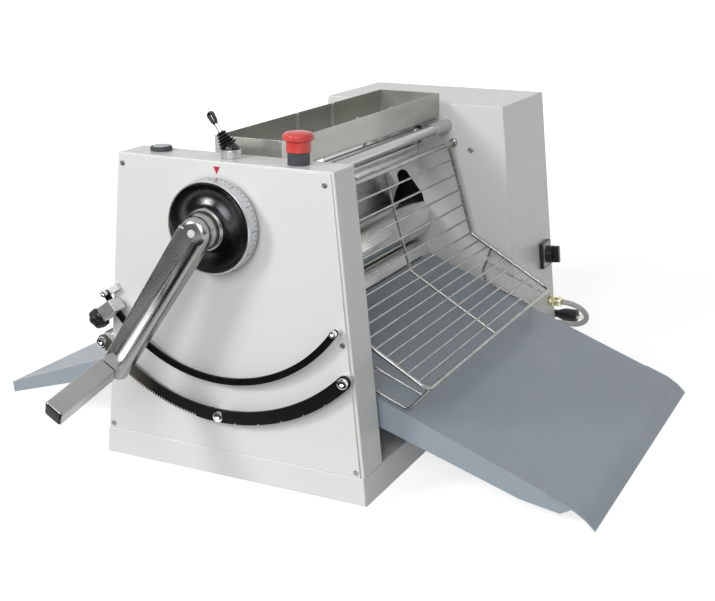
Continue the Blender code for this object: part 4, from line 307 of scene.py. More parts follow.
def grow(tree, kind, inputs, **settings):
    """Adds a shader node. Each input is a value, or another node's output to link."""
    made = tree.nodes.new("ShaderNode" + kind)
    for name, value in settings.items():
        setattr(made, name, value)
    for socket, value in inputs.items():
        if isinstance(value, bpy.types.NodeSocket):
            tree.links.new(value, made.inputs[socket])
        else:
            made.inputs[socket].default_value = value
    return made.outputs


def steer(tree, output, socket):
    """Links an output to one of the shader's sockets."""
    tree.links.new(output, tree.nodes["Principled BSDF"].inputs[socket])


def pattern(material, scale, stretch=(1, 1, 1), detail=3.0):
    """A noise over the piece, in its own metres, drawn out along an axis for brushed metal."""
    tree = material.node_tree
    place = grow(tree, "TexCoord", {})["Object"]
    drawn = grow(tree, "Mapping", {"Vector": place, "Scale": stretch})["Vector"]
    return grow(tree, "TexNoise", {"Vector": drawn, "Scale": scale, "Detail": detail})["Fac"]


def tint(material, noise, dark, light):
    """Lets the colour drift between two shades."""
    tree = material.node_tree
    blend = tree.nodes.new("ShaderNodeValToRGB")
    for stop, position, shade in zip(blend.color_ramp.elements, TINT_STOPS, (dark, light)):
        stop.position = position
        stop.color = (*shade, 1.0)
    tree.links.new(noise, blend.inputs["Fac"])
    steer(tree, blend.outputs["Color"], "Base Color")


def polish(material, noise, low, high):
    """Lets the roughness drift between two values."""
    tree = material.node_tree
    ends = {"From Min": POLISH_FROM, "From Max": POLISH_TO, "To Min": low, "To Max": high}
    steer(tree, grow(tree, "MapRange", {"Value": noise, **ends})["Result"], "Roughness")


def relief(material, noise, depth, strength=0.5):
    """Raises a fine texture of this depth, in metres."""
    tree = material.node_tree
    bump = grow(tree, "Bump", {"Height": noise, "Distance": depth, "Strength": strength})
    steer(tree, bump["Normal"], "Normal")


def skin(name, colour, roughness, metallic=0.0, drift=None, sheen=None, grain=None, **settings):
    """A finish whose colour, roughness or surface varies, by a noise and what its function takes."""
    made = coat(name, colour, roughness, metallic, **settings)
    for lay, given in ((tint, drift), (polish, sheen), (relief, grain)):
        if given:
            noise, *values = given
            spread = pattern(made, *noise) if isinstance(noise, tuple) else pattern(made, noise)
            lay(made, spread, *values)
    return made


def turned(name, profile, start, axis, sides, sharper_than, *fitting, across=None):
    """A turned piece, shaded smooth and fitted."""
    return fit(smooth(lathe(name, profile, start, axis, sides, across), sharper_than), *fitting)


sheath = skin("cable_sheath_grey", (0.56, 0.56, 0.54), 0.42,
              drift=(60, (0.50, 0.50, 0.48), (0.60, 0.60, 0.58)), grain=(900, 0.00015))
brass = skin("nickelled_brass", (0.80, 0.74, 0.46), 0.24, 1.0,
             drift=(90, (0.66, 0.60, 0.34), (0.86, 0.82, 0.58)), sheen=((420, (6, 1, 1)), 0.18, 0.36))
rubber = skin("moulded_rubber", (0.012, 0.012, 0.013), 0.52, sheen=(300, 0.45, 0.62), grain=(1400, 0.0001))
gland_bore = CABLE_RADIUS + FIT_GAP
gland_profile = [(gland_bore, 0), (0.0110, 0), (0.0110, 0.0066), (0.0104, 0.0072), (0.0085, 0.0080),
                 (0.0085, 0.0145), (0.0095, 0.0150), (0.0095, 0.0190), (0.0088, 0.0206), (0.0070, 0.0217),
                 (0.0058, 0.0220), (gland_bore, 0.0220)]
gland_profile.append(gland_profile[0])
gland_seat = Vector((GLAND_SEAT_X, GLAND_Y, GLAND_Z))
gland = lathe("cable_gland_turned", gland_profile, gland_seat, (1, 0, 0), 48, (0, 0, 1))
flats = []
for turn in range(6):
    angle = math.tau * (turn + 0.5) / 6
    outward = Vector((0, math.cos(angle), math.sin(angle)))
    bpy.ops.mesh.primitive_cube_add(size=1, location=gland_seat + outward * (GLAND_NUT_RADIUS * 1.37)
                                    + Vector((0.0036, 0, 0)), rotation=(angle, 0, 0),
                                    scale=(0.0060, GLAND_NUT_RADIUS, GLAND_NUT_RADIUS * 2))
    flats.append(bpy.context.active_object)
weld(gland, flats, "DIFFERENCE")
smooth(gland, 30)
fit(gland, brass, "frame", "brass", "cable_gland")
fit(mains_lead, sheath, "frame", "cable_sheath", "power_cable", "cable_coil", "cable_tail")

plug_start = to_plug[-1] + Vector((FIT_GAP, 0, 0))
body_end = RELIEF_LENGTH + PLUG_LENGTH
plug_profile = [(0, 0), (0.0060, 0)]
for rib in range(6):
    height = RELIEF_LENGTH * (rib + 0.5) / 6.4
    plug_profile += [(0.0064 + rib * 0.0003, height), (0.0056 + rib * 0.0003, height + 0.0007),
                     (0.0056 + rib * 0.0003, height + 0.0014), (0.0065 + rib * 0.0003, height + 0.0021)]
plug_profile += [(0.0088, RELIEF_LENGTH), (0.0118, RELIEF_LENGTH + 0.009),
                 (PLUG_RADIUS, RELIEF_LENGTH + 0.013), (PLUG_RADIUS, body_end - 0.003),
                 (PLUG_RADIUS * 0.94, body_end), (0, body_end)]
plug = turned("moulded_plug", plug_profile, plug_start, (1, 0, 0), 40, 40, rubber, "frame", "plug_rubber",
              "mains_plug")
pin_steel = skin("plug_pin_nickel", (0.72, 0.70, 0.66), 0.25, 1.0, sheen=((700, (0.2, 1, 1)), 0.16, 0.34))
for side, name in ((-1, "plug_pin_near"), (1, "plug_pin_far")):
    foot = plug_start + Vector((body_end - FIT_GAP, side * PIN_SPACING / 2, 0))
    pin_profile = [(0, 0), (PIN_RADIUS, 0), (PIN_RADIUS, PIN_LENGTH * 0.88), (PIN_RADIUS * 0.55, PIN_LENGTH),
                   (0, PIN_LENGTH)]
    turned(name, pin_profile, foot, (1, 0, 0), 20, 30, pin_steel, "frame", "chrome")
tie_out = Vector((math.cos(TIE_ANGLE), math.sin(TIE_ANGLE), 0))
tie_way = Vector((-math.sin(TIE_ANGLE), math.cos(TIE_ANGLE), 0))
tie_middle = COIL_CENTRE.to_3d() + tie_out * TIE_MIDDLE_RADIUS + Vector((0, 0, TIE_MIDDLE_HEIGHT))
band_inside = TIE_HALF_HEIGHT
band_outside = TIE_HALF_HEIGHT + TIE_SHEET
band_profile = [(band_inside, 0), (band_outside, 0), (band_outside, TIE_WIDTH), (band_inside, TIE_WIDTH),
                (band_inside, 0)]
coil_tie = lathe("coil_tie", band_profile, tie_middle, tie_way, 64)
for vertex in coil_tie.data.vertices:
    away = vertex.co - tie_middle
    turn = math.atan2(away.z, away.dot(tie_out))
    shut = (abs(math.cos(turn) / TIE_HALF_REACH) ** TIE_SQUARENESS
            + abs(math.sin(turn) / TIE_HALF_HEIGHT) ** TIE_SQUARENESS) ** (-1 / TIE_SQUARENESS)
    radial = tie_out * math.cos(turn) + Vector((0, 0, math.sin(turn)))
    sheet = (away - tie_way * away.dot(tie_way)).length - band_inside
    vertex.co = tie_middle + tie_way * away.dot(tie_way) + radial * (shut + sheet)
smooth(coil_tie, 35)
fit(coil_tie, rubber, "frame", "plug_rubber")

# The bench it stands on and the soft light of the studio: a pale floor, a white surround and two large
# lamps, up on the left and up on the right of the control side. A black felt flag lies before it on the
# floor, where only polished metal sees it, as a studio sets one to give chrome its dark tones.
FLOOR_SIZE = 30.0
FLOOR_GREY = 0.50
FLOOR_GLOW_NEAR = 0.76
GLOW_STARTS = 0.75
GLOW_FULL = 2.4
KEY_PLACE = (-3.4, -5.0, 3.8)
KEY_SIZE = 1.5
KEY_WATTS = 185.0
KEY_COLOUR = (1.0, 0.99, 0.97)
FRONT_PLACE = (1.2, -6.1, 3.3)
FRONT_SIZE = 3.8
FRONT_WATTS = 215.0
FRONT_COLOUR = (0.96, 0.98, 1.0)
AMBIENT = 0.30
DARK_ROOM = 0.05
ROOM_SLOPE = (0.1, 0.8, 1.0)
ROOM_DARKEST = -0.15
ROOM_WHITE = 0.50
FLAG_PLACE = (-0.75, -1.90, 0.002)
FLAG_SIZE = 2.6
LOOK_AT = Vector((0.0, 0.0, 0.22))


def shown_white(tree):
    """One where the camera or a mirror looks, and nought where light is being gathered."""
    path = grow(tree, "LightPath", {})
    seen = grow(tree, "Math", {0: path["Is Camera Ray"], 1: path["Is Glossy Ray"]}, operation="MAXIMUM")
    return grow(tree, "Math", {0: seen[0], 1: path["Is Transmission Ray"]}, operation="MAXIMUM")[0]


bpy.ops.mesh.primitive_plane_add(size=FLOOR_SIZE, location=(0, 0, 0))
floor = fresh("bench_floor")
floor_white = coat("pale_floor", (FLOOR_GREY, FLOOR_GREY, FLOOR_GREY), 1.0, Specular_IOR_Level=0.0)
floor_tree = floor_white.node_tree
spot = grow(floor_tree, "TexCoord", {})["Object"]
distance = grow(floor_tree, "VectorMath", {0: spot}, operation="LENGTH")["Value"]
outwards = grow(floor_tree, "MapRange",
                {"Value": distance, "From Min": GLOW_STARTS, "From Max": GLOW_FULL,
                 "To Min": FLOOR_GLOW_NEAR, "To Max": 1.0}, interpolation_type="SMOOTHSTEP")["Result"]
lift = grow(floor_tree, "Math", {0: shown_white(floor_tree), 1: outwards}, operation="MULTIPLY")[0]
glow = grow(floor_tree, "Emission", {"Strength": lift})[0]
matt = floor_tree.nodes["Principled BSDF"].outputs[0]
both = grow(floor_tree, "AddShader", {0: matt, 1: glow})[0]
floor_tree.links.new(both, floor_tree.nodes["Material Output"].inputs["Surface"])
floor.data.materials.append(floor_white)

world = bpy.data.worlds.new("studio")
bpy.context.scene.world = world
world.use_nodes = True
sky = world.node_tree.nodes["Background"]
sky.inputs["Color"].default_value = (1.0, 1.0, 1.0, 1.0)
world_tree = world.node_tree
heading = grow(world_tree, "TexCoord", {})["Generated"]
room = grow(world_tree, "VectorMath", {0: heading, 1: ROOM_SLOPE}, operation="DOT_PRODUCT")["Value"]
shade = grow(world_tree, "MapRange",
             {"Value": room, "From Min": ROOM_DARKEST, "From Max": ROOM_WHITE, "To Min": DARK_ROOM,
              "To Max": 1.0}, interpolation_type="SMOOTHSTEP")["Result"]
path = grow(world_tree, "LightPath", {})
mirrored = grow(world_tree, "Mix", {0: path["Is Glossy Ray"], 2: AMBIENT, 3: shade})[0]
seen = grow(world_tree, "Math", {0: mirrored, 1: path["Is Camera Ray"]}, operation="MAXIMUM")[0]
world_tree.links.new(seen, sky.inputs["Strength"])

bpy.ops.mesh.primitive_plane_add(size=FLAG_SIZE, location=FLAG_PLACE)
flag = fresh("black_flag")
flag.visible_camera = flag.visible_diffuse = flag.visible_shadow = flag.visible_transmission = False
flag.data.materials.append(coat("black_felt", (0.01, 0.01, 0.01), 1.0))

for name, place, size, watts, colour in (("key_light", KEY_PLACE, KEY_SIZE, KEY_WATTS, KEY_COLOUR),
                                         ("front_light", FRONT_PLACE, FRONT_SIZE, FRONT_WATTS, FRONT_COLOUR)):
    lamp = bpy.data.lights.new(name, "AREA")
    lamp.shape = "SQUARE"
    lamp.size = size
    lamp.energy = watts
    lamp.color = colour
    stand = bpy.data.objects.new(name, lamp)
    stand.location = place
    stand.rotation_euler = (LOOK_AT - Vector(place)).to_track_quat("-Z", "Y").to_euler()
    bpy.context.scene.collection.objects.link(stand)

# The enamelled sheet-steel body: a plinth tray with its bottom plate, two folded housings and their covers.
# All of it is two-millimetre sheet, bent with small outside radii and powder coated off-white.
HOUSING_FOLD = 0.0018
PLINTH_FOLD = 0.0022
COVER_EDGE = 0.0009
COVER_INSET = 0.0045
BODY_TOP = 0.450
BODY_FRONT = -0.4215
BODY_BACK = 0.4215
HOUSING_FRONT = -0.4192
FRONT_WALL = -0.3615
REAR_WALL = 0.2055
BASE_HALF_LENGTH = 0.212
SIDE_SLOPE = 0.104444
PLINTH_TOP = 0.040
NEAR_ENOUGH = 0.0004


def half_length(height):
    """Half the body's length at a height, where its sides lean in."""
    return BASE_HALF_LENGTH - SIDE_SLOPE * height


def remade(name, node):
    """A copy of a node's solid with its own mesh, its loose triangles merged into flat faces."""
    made = bpy.data.objects.new(name, nodes[node].data.copy())
    bpy.context.scene.collection.objects.link(made)
    only(made)
    bpy.ops.object.mode_set(mode="EDIT")
    bpy.ops.mesh.select_all(action="SELECT")
    bpy.ops.mesh.remove_doubles(threshold=FIT_GAP / 30)
    bpy.ops.mesh.dissolve_limited(angle_limit=math.radians(0.5))
    bpy.ops.object.mode_set(mode="OBJECT")
    return made


def level_shading(piece):
    """Keeps wide flat faces flat to the light where a rounded edge meets them."""
    bpy.ops.object.select_all(action="DESELECT")
    bpy.context.view_layer.objects.active = piece
    weighted = piece.modifiers.new("level_shading", "WEIGHTED_NORMAL")
    weighted.keep_sharp = True
    weighted.weight = 100
    bpy.ops.object.modifier_apply(modifier=weighted.name)
    return piece


def fold(piece, wanted, width, segments=3):
    """Rounds the edges whose two ends pass a test of their place."""
    only(piece)
    bpy.ops.object.mode_set(mode="EDIT")
    bpy.ops.mesh.select_mode(type="EDGE")
    bpy.ops.mesh.select_all(action="DESELECT")
    bpy.ops.object.mode_set(mode="OBJECT")
    for edge in piece.data.edges:
        ends = [piece.data.vertices[index].co for index in edge.vertices]
        edge.select = wanted(*ends)
    bpy.ops.object.mode_set(mode="EDIT")
    bpy.ops.mesh.bevel(offset=width, offset_type="OFFSET", segments=segments, affect="EDGES")
    bpy.ops.mesh.select_mode(type="VERT")
    bpy.ops.object.mode_set(mode="OBJECT")
    return level_shading(smooth(piece, 50))


def ease(piece, width, segments=2, sharper_than=35):
    """Takes the sharpness off every hard edge of a piece."""
    only(piece)
    edges = piece.modifiers.new("eased_edges", "BEVEL")
    edges.width = width
    edges.segments = segments
    edges.limit_method = "ANGLE"
    edges.angle_limit = math.radians(sharper_than)
    bpy.ops.object.modifier_apply(modifier=edges.name)
    return level_shading(smooth(piece, 50))


def on_side(point):
    """True on the outside of a leaning side."""
    return abs(abs(point.x) - half_length(point.z)) < NEAR_ENOUGH


def outer_fold(first, second, faces):
    """True for an edge along the outside corner of one of these Y planes, at a side or on top."""
    for face in faces:
        if abs(first.y - face) < NEAR_ENOUGH and abs(second.y - face) < NEAR_ENOUGH:
            top = first.z > BODY_TOP - NEAR_ENOUGH and second.z > BODY_TOP - NEAR_ENOUGH
            if top or (on_side(first) and on_side(second)):
                return True
    top_edge = first.z > BODY_TOP - NEAR_ENOUGH and second.z > BODY_TOP - NEAR_ENOUGH
    return top_edge and on_side(first) and on_side(second)


def on_level(point):
    """True on the front cover's top or bottom edge."""
    return point.z > BODY_TOP - COVER_INSET or point.z < PLINTH_TOP + COVER_INSET


def cover_rim(point):
    """True on the outline of the front cover's outer face."""
    if abs(point.y - BODY_FRONT) > NEAR_ENOUGH:
        return False
    side = half_length(point.z) - COVER_INSET
    return on_level(point) or abs(abs(point.x) - side) < NEAR_ENOUGH


enamel = skin("off_white_enamel", (0.74, 0.742, 0.725), 0.34,
              drift=((5, (1, 1, 1), 2), (0.742, 0.746, 0.730), (0.770, 0.772, 0.754)),
              sheen=(40, 0.30, 0.40), grain=(520, 0.00006, 0.35), Coat_Weight=0.15, Coat_Roughness=0.25)
plinth = fold(remade("plinth_tray", "base_tray"),
              lambda a, b: (abs(abs(a.y) - BODY_BACK) < NEAR_ENOUGH and abs(a.y - b.y) < NEAR_ENOUGH
                            and on_side(a) and on_side(b))
              or (a.z > PLINTH_TOP - NEAR_ENOUGH and b.z > PLINTH_TOP - NEAR_ENOUGH), PLINTH_FOLD)
fit(plinth, enamel, "frame", "housing_paint", "base_tray")
front_shell = fold(remade("front_housing_shell", "front_column"),
                   lambda a, b: outer_fold(a, b, (HOUSING_FRONT, FRONT_WALL)), HOUSING_FOLD)
fit(front_shell, enamel, "frame", "housing_paint", "front_column")
rear_shell = fold(remade("rear_housing_shell", "rear_housing"),
                  lambda a, b: outer_fold(a, b, (-HOUSING_FRONT, REAR_WALL)), HOUSING_FOLD)
fit(rear_shell, enamel, "frame", "housing_paint", "rear_housing")
front_panel = fold(remade("front_cover_panel", "front_cover"),
                   lambda a, b: cover_rim(a) and cover_rim(b) and cover_rim((a + b) / 2), COVER_EDGE, 2)
fit(front_panel, enamel, "frame", "housing_paint", "front_cover")
rear_panel = ease(remade("rear_cover_panel", "rear_cover"), COVER_EDGE)
fit(rear_panel, enamel, "frame", "housing_paint", "rear_cover")

# Small pan-head screws of zinc-plated steel hold the covers and the roller wall's inner angle.
# Each has a round-edged head and a dark hexagon socket.
COVER_SCREWS = ((-0.156, 0.436), (0.153, 0.433), (0.1775, 0.2235), (0.1965, 0.047), (-0.1975, 0.047))
SCREW_RADIUS = 0.0037
WALL_SCREW_RADIUS = 0.0048
WALL_SCREW_HEIGHT = 0.0030
WALL_SCREW_X = 0.110
WALL_SCREW_Z = 0.373
SCREW_HEIGHT = 0.0016
zinc_plate = skin("zinc_plate", (0.40, 0.405, 0.41), 0.26, 1.0,
                  drift=(300, (0.32, 0.325, 0.33), (0.48, 0.485, 0.49)), sheen=(900, 0.22, 0.42))


def socket_screw(name, seat, axis, radius, height, socket, body, finish, metal, *stands_for):
    """A round-edged screw head with a hexagon socket sunk in it."""
    edge = radius * 0.22
    profile = [(0, 0), (radius, 0), (radius, height - edge), (radius - edge * 0.3, height - edge * 0.3),
               (radius - edge, height), (0, height)]
    head = lathe(name, profile, seat, axis, 32)
    forward = Vector(axis).normalized()
    deep = Vector(seat) + forward * height
    bpy.ops.mesh.primitive_cylinder_add(vertices=6, radius=socket, depth=height * 1.1, location=deep,
                                        rotation=forward.to_track_quat("Z", "Y").to_euler())
    weld(head, [bpy.context.active_object], "DIFFERENCE")
    smooth(head, 30)
    return fit(head, metal, body, finish, *stands_for)


for number, (x, z) in enumerate(COVER_SCREWS, 1):
    socket_screw(f"front_cover_screw_{number}", (x, BODY_FRONT, z), (0, -1, 0), SCREW_RADIUS, SCREW_HEIGHT,
                 SCREW_RADIUS * 0.45, "frame", "zinc", zinc_plate)
    socket_screw(f"rear_cover_screw_{number}", (-x, BODY_BACK, z), (0, 1, 0), SCREW_RADIUS, SCREW_HEIGHT,
                 SCREW_RADIUS * 0.45, "frame", "zinc", zinc_plate)
for number, side in enumerate((-1, 1), 1):
    socket_screw(f"roller_wall_screw_{number}", (side * WALL_SCREW_X, REAR_WALL, WALL_SCREW_Z), (0, -1, 0),
                 WALL_SCREW_RADIUS, WALL_SCREW_HEIGHT, WALL_SCREW_RADIUS * 0.45, "frame", "zinc", zinc_plate)

# The fixed pointer over the dial: a thin crimson triangle stuck on the front cover.
# Its tip shows the number that the rollers' gap is set to.
POINTER_TIP = (-0.006, 0.4330)
POINTER_TOP = 0.4432
POINTER_HALF_WIDTH = 0.0050
POINTER_THICKNESS = 0.0003


def plate(name, outline, start, forward, thickness, right=None):
    """A flat plate whose outline is drawn in two directions square to forward, then extruded."""
    ahead = Vector(forward).normalized()
    across = Vector(right).normalized() if right else ahead.orthogonal().normalized()
    up = ahead.cross(across)
    bpy.ops.mesh.primitive_circle_add(vertices=len(outline), radius=CABLE_RADIUS, fill_type="NGON")
    made = fresh(name)
    for vertex, (first, second) in zip(made.data.vertices, outline):
        vertex.co = Vector(start) + across * first + up * second
    bpy.ops.object.mode_set(mode="EDIT")
    bpy.ops.mesh.select_all(action="SELECT")
    bpy.ops.mesh.extrude_region_move(TRANSFORM_OT_translate={"value": ahead * thickness})
    bpy.ops.mesh.select_all(action="SELECT")
    bpy.ops.mesh.normals_make_consistent(inside=False)
    bpy.ops.object.mode_set(mode="OBJECT")
    return made


crimson = skin("crimson_enamel", (0.52, 0.010, 0.040), 0.38,
               drift=(260, (0.47, 0.008, 0.034), (0.56, 0.014, 0.048)))
pointer = plate("dial_pointer", [(0, 0), (POINTER_HALF_WIDTH, POINTER_TOP - POINTER_TIP[1]),
                                 (-POINTER_HALF_WIDTH, POINTER_TOP - POINTER_TIP[1])],
                (POINTER_TIP[0], BODY_FRONT, POINTER_TIP[1]), (0, -1, 0), POINTER_THICKNESS, (1, 0, 0))
fit(pointer, crimson, "frame", "red_plastic")

# The dial: a turned aluminium drum fixed to the crank's hub, and inside its bright lip a dished polished face
# whose near-black colour is a painted dark reflection.
# Its pale sloping band is engraved with a line for each step and a plain number for every fifth line.
DIAL_X = -0.006
DIAL_Z = 0.366
DIAL_BACK_RADIUS = 0.0642
DIAL_LIP_RADIUS = 0.0622
DIAL_BACK = 0.006
DIAL_FRONT = 0.0268
DIAL_BORE = 0.0093
DISH_RADIUS = 0.0606
DIAL_LINES = 60
DIAL_NUMBERS = 12
LINE_WIDTH = 0.00085
LINE_LENGTH = 0.0040
LINE_HEIGHT = 0.00024
NUMBER_HEIGHT = 0.0046
RING_SCALE = 700
RING_WAVER = 0.4
dial_centre = Vector((DIAL_X, BODY_FRONT, DIAL_Z))
dial_profile = [(DIAL_BORE, DIAL_BACK), (DIAL_BACK_RADIUS - 0.0008, DIAL_BACK),
                (DIAL_BACK_RADIUS, DIAL_BACK + 0.0008), (DIAL_LIP_RADIUS + 0.0006, DIAL_FRONT - 0.0012),
                (DIAL_LIP_RADIUS, DIAL_FRONT - 0.0004), (DIAL_LIP_RADIUS - 0.0006, DIAL_FRONT),
                (DISH_RADIUS + 0.0006, DIAL_FRONT), (DISH_RADIUS, DIAL_FRONT - 0.0006),
                (DISH_RADIUS, DIAL_FRONT - 0.0050), (DIAL_BORE, DIAL_FRONT - 0.0050)]
dial_profile.append(dial_profile[0])
satin_aluminium = skin("turned_aluminium", (0.62, 0.63, 0.65), 0.34, 1.0,
                       drift=(160, (0.56, 0.57, 0.59), (0.68, 0.69, 0.71)), sheen=(500, 0.28, 0.42))
turned("dial_drum_turned", dial_profile, dial_centre, (0, -1, 0), 128, 28, satin_aluminium, "crank",
       "stainless", "dial_drum", across=(1, 0, 0))
dish_profile = [(DIAL_BORE, DIAL_FRONT - 0.0049), (DISH_RADIUS - 0.0001, DIAL_FRONT - 0.0049),
                (DISH_RADIUS - 0.0001, DIAL_FRONT - 0.0010), (0.0588, DIAL_FRONT - 0.0024),
                (0.0555, DIAL_FRONT - 0.0036), (0.0500, DIAL_FRONT - 0.0041), (0.0440, DIAL_FRONT - 0.0034),
                (0.0385, DIAL_FRONT - 0.0016), (0.0340, DIAL_FRONT + 0.0006), (0.0306, DIAL_FRONT + 0.0022),
                (DIAL_BORE, DIAL_FRONT + 0.0022)]
dish_profile.append(dish_profile[0])
# The dish is polished metal given a near-black colour: a painted dark reflection, not the metal's own tone.
dish_painted_dark = coat("polished_dish_painted_dark_reflection", (0.075, 0.075, 0.078), 0.20, 1.0)
tree = dish_painted_dark.node_tree
ring_place = grow(tree, "TexCoord", {})["Object"]
ring_centre = grow(tree, "Mapping", {"Vector": ring_place, "Location": (-DIAL_X, 0, -DIAL_Z)})["Vector"]
rings = grow(tree, "TexWave", {"Vector": ring_centre, "Scale": RING_SCALE, "Distortion": RING_WAVER},
             wave_type="RINGS", rings_direction="Y")
relief(dish_painted_dark, rings["Fac"], 0.00002, 0.5)
polish(dish_painted_dark, pattern(dish_painted_dark, 120), 0.18, 0.28)
turned("dial_dish", dish_profile, dial_centre, (0, -1, 0), 128, 50, dish_painted_dark, "crank", "black_steel",
       across=(1, 0, 0))

ink = skin("engraved_ink", (0.020, 0.020, 0.022), 0.55, sheen=(800, 0.5, 0.65))
BAND_TOP_RADIUS = DIAL_LIP_RADIUS + 0.0006
BAND_START = DIAL_BACK + 0.0008
BAND_END = DIAL_FRONT - 0.0012
band_slope = Vector((BAND_TOP_RADIUS - DIAL_BACK_RADIUS, BAND_END - BAND_START)).normalized()
marks = []


def on_band(angle, share):
    """A place on the sloping band, its direction round the dial, and its direction up the slope."""
    radius = DIAL_BACK_RADIUS + (BAND_TOP_RADIUS - DIAL_BACK_RADIUS) * share
    depth = BAND_START + (BAND_END - BAND_START) * share
    out = Vector((math.sin(angle), 0, math.cos(angle)))
    around = Vector((math.cos(angle), 0, -math.sin(angle)))
    slope = out * band_slope.x + Vector((0, -band_slope.y, 0))
    return dial_centre + out * radius + Vector((0, -depth, 0)), around, slope


def joined(name, pieces):
    """Makes one piece of several."""
    only(pieces[0])
    for piece in pieces:
        piece.select_set(True)
    bpy.ops.object.join()
    return fresh(name)


def settle(piece, origin, across, up):
    """Puts a piece drawn on X and Y at a place, facing across cross up, and applies it."""
    face = across.cross(up)
    piece.matrix_world = Matrix((across, up, face)).transposed().to_4x4()
    piece.matrix_world.translation = origin
    only(piece)
    bpy.ops.object.transform_apply(location=True, rotation=True, scale=True)
    return piece


for number in range(DIAL_LINES):
    angle = math.tau * number / DIAL_LINES
    long_line = number % (DIAL_LINES // DIAL_NUMBERS) == 0
    place, around, slope = on_band(angle, 0.10)
    reach = LINE_LENGTH * (1.5 if long_line else 1)
    face = around.cross(slope)
    outline = [(-LINE_WIDTH / 2, 0), (LINE_WIDTH / 2, 0), (LINE_WIDTH / 2, reach), (-LINE_WIDTH / 2, reach)]
    marks.append(plate("dial_line", outline, place - face * (LINE_HEIGHT / 2), face, LINE_HEIGHT, around))
    if long_line:
        bpy.ops.object.text_add()
        figure = bpy.context.active_object
        figure.data.body = str(number // (DIAL_LINES // DIAL_NUMBERS))
        figure.data.size = NUMBER_HEIGHT * 1.4
        figure.data.align_x = "CENTER"
        figure.data.extrude = LINE_HEIGHT / 2
        bpy.ops.object.convert(target="MESH")
        place, around, slope = on_band(angle, 0.46)
        marks.append(settle(bpy.context.active_object, place, around, slope))
fit(joined("dial_marks", marks), ink, "crank", "black_plastic")

# The crank: a cast and polished aluminium lever on a domed hub, and the square grip cast to stand out of it.
# The hub is ringed where it meets the dial, and a bright pin closes the end of its shaft.
ARM_SWING = math.radians(31)
ARM_LEAN = math.radians(9)
ARM_LENGTH = 0.218
ARM_ROOT_WIDTH = 0.0440
ARM_END_WIDTH = 0.0345
ARM_THICKNESS = 0.0275
ARM_PLANE = 0.0530
ARM_EDGE = 0.0050
ARM_SHOULDER = 0.0165
ARM_STEPS = 8
ARM_EDGE_RISE = {1: 0.8, -1: 1.0}
GRIP_LEAN = math.radians(66)
GRIP_LENGTH = 0.100
GRIP_WIDTH = 0.028
GRIP_HEIGHT = 0.027
GRIP_START = 0.0096
GRIP_EDGE = 0.0052
along = Vector((-math.sin(ARM_SWING) * math.cos(ARM_LEAN), -math.sin(ARM_LEAN),
                -math.cos(ARM_SWING) * math.cos(ARM_LEAN)))
across = Vector((math.cos(ARM_SWING), 0, -math.sin(ARM_SWING)))
outward = along.cross(across)
arm_root = Vector((DIAL_X, BODY_FRONT - ARM_PLANE, DIAL_Z))
knee = arm_root + along * ARM_LENGTH
cast = skin("polished_cast_aluminium", (0.34, 0.34, 0.33), 0.27, 1.0,
            drift=(14, (0.31, 0.31, 0.30), (0.37, 0.37, 0.36)), sheen=((22, (1, 1, 1), 1), 0.23, 0.29),
            grain=(260, 0.00001, 0.05))
hub_profile = [(0, 0.0292), (0.0272, 0.0292), (0.0282, 0.0300), (0.0282, 0.0346), (0.0276, 0.0357),
               (0.0266, 0.0362), (0.0259, 0.0368), (0.0257, 0.0400), (0.0251, 0.0440), (0.0239, 0.0480),
               (0.0219, 0.0517), (0.0192, 0.0548), (0.0150, 0.0575), (0, 0.0598)]
lever = lathe("crank_lever", hub_profile, dial_centre, (0, -1, 0), 96, (1, 0, 0))


def bar(name, start, end, side, first, second, edge, segments=4):
    """A straight bar from one place to another that may taper, with its long edges rounded."""
    run = (end - start).normalized()
    bpy.ops.mesh.primitive_cube_add(size=1)
    made = fresh(name)
    length = (end - start).length
    for vertex in made.data.vertices:
        width, height = second if vertex.co.z > 0 else first
        vertex.co = Vector((vertex.co.x * width, vertex.co.y * height, (vertex.co.z + 0.5) * length))
    fold(made, lambda a, b: abs(a.z - b.z) > length / 2, edge, segments)
    up = run.cross(side).normalized()
    made.matrix_world = Matrix((side, up, run)).transposed().to_4x4()
    made.matrix_world.translation = start
    bpy.ops.object.transform_apply(location=True, rotation=True, scale=True)
    return made


half = ARM_THICKNESS / 2
head_radius = ARM_ROOT_WIDTH / 2
blade_outline = []
for sign_x, sign_y, edge in ((1, 1, ARM_SHOULDER), (-1, 1, ARM_EDGE), (-1, -1, ARM_EDGE), (1, -1, ARM_EDGE)):
    corner_start = math.atan2(sign_y, sign_x) - math.pi / 4
    for step in range(ARM_STEPS + 1):
        turn = corner_start + math.pi / 2 * step / ARM_STEPS
        blade_outline.append((sign_x * (head_radius - edge) + edge * math.cos(turn),
                              sign_y * (half - edge * ARM_EDGE_RISE[sign_y]) + edge * ARM_EDGE_RISE[sign_y]
                              * math.sin(turn)))
blade = plate("lever_blade", blade_outline, arm_root, along, ARM_LENGTH + ARM_END_WIDTH / 2, across)
for vertex in blade.data.vertices:
    down = (vertex.co - arm_root).dot(along) / ARM_LENGTH
    narrowed = min(down, 1) * (1 - ARM_END_WIDTH / ARM_ROOT_WIDTH)
    vertex.co -= across * ((vertex.co - arm_root).dot(across) * narrowed)
ease(blade, 0.0050, 4, 60)
HEAD_SHAPE = ((0, -1), (0.80, -1), (1, -0.6), (1, 0.02), (0.985, 0.30), (0.93, 0.58), (0.84, 0.80),
              (0.72, 0.93), (0.56, 1), (0, 1))
head_profile = [(head_radius * share, half * height) for share, height in HEAD_SHAPE]
lever_head = lathe("lever_head", head_profile, arm_root, outward, 64, across)
reach = Vector((-math.sin(ARM_SWING) * math.cos(GRIP_LEAN), -math.sin(GRIP_LEAN),
                -math.cos(ARM_SWING) * math.cos(GRIP_LEAN)))
grip_root = knee + outward * half
grip_start = grip_root + reach * GRIP_START
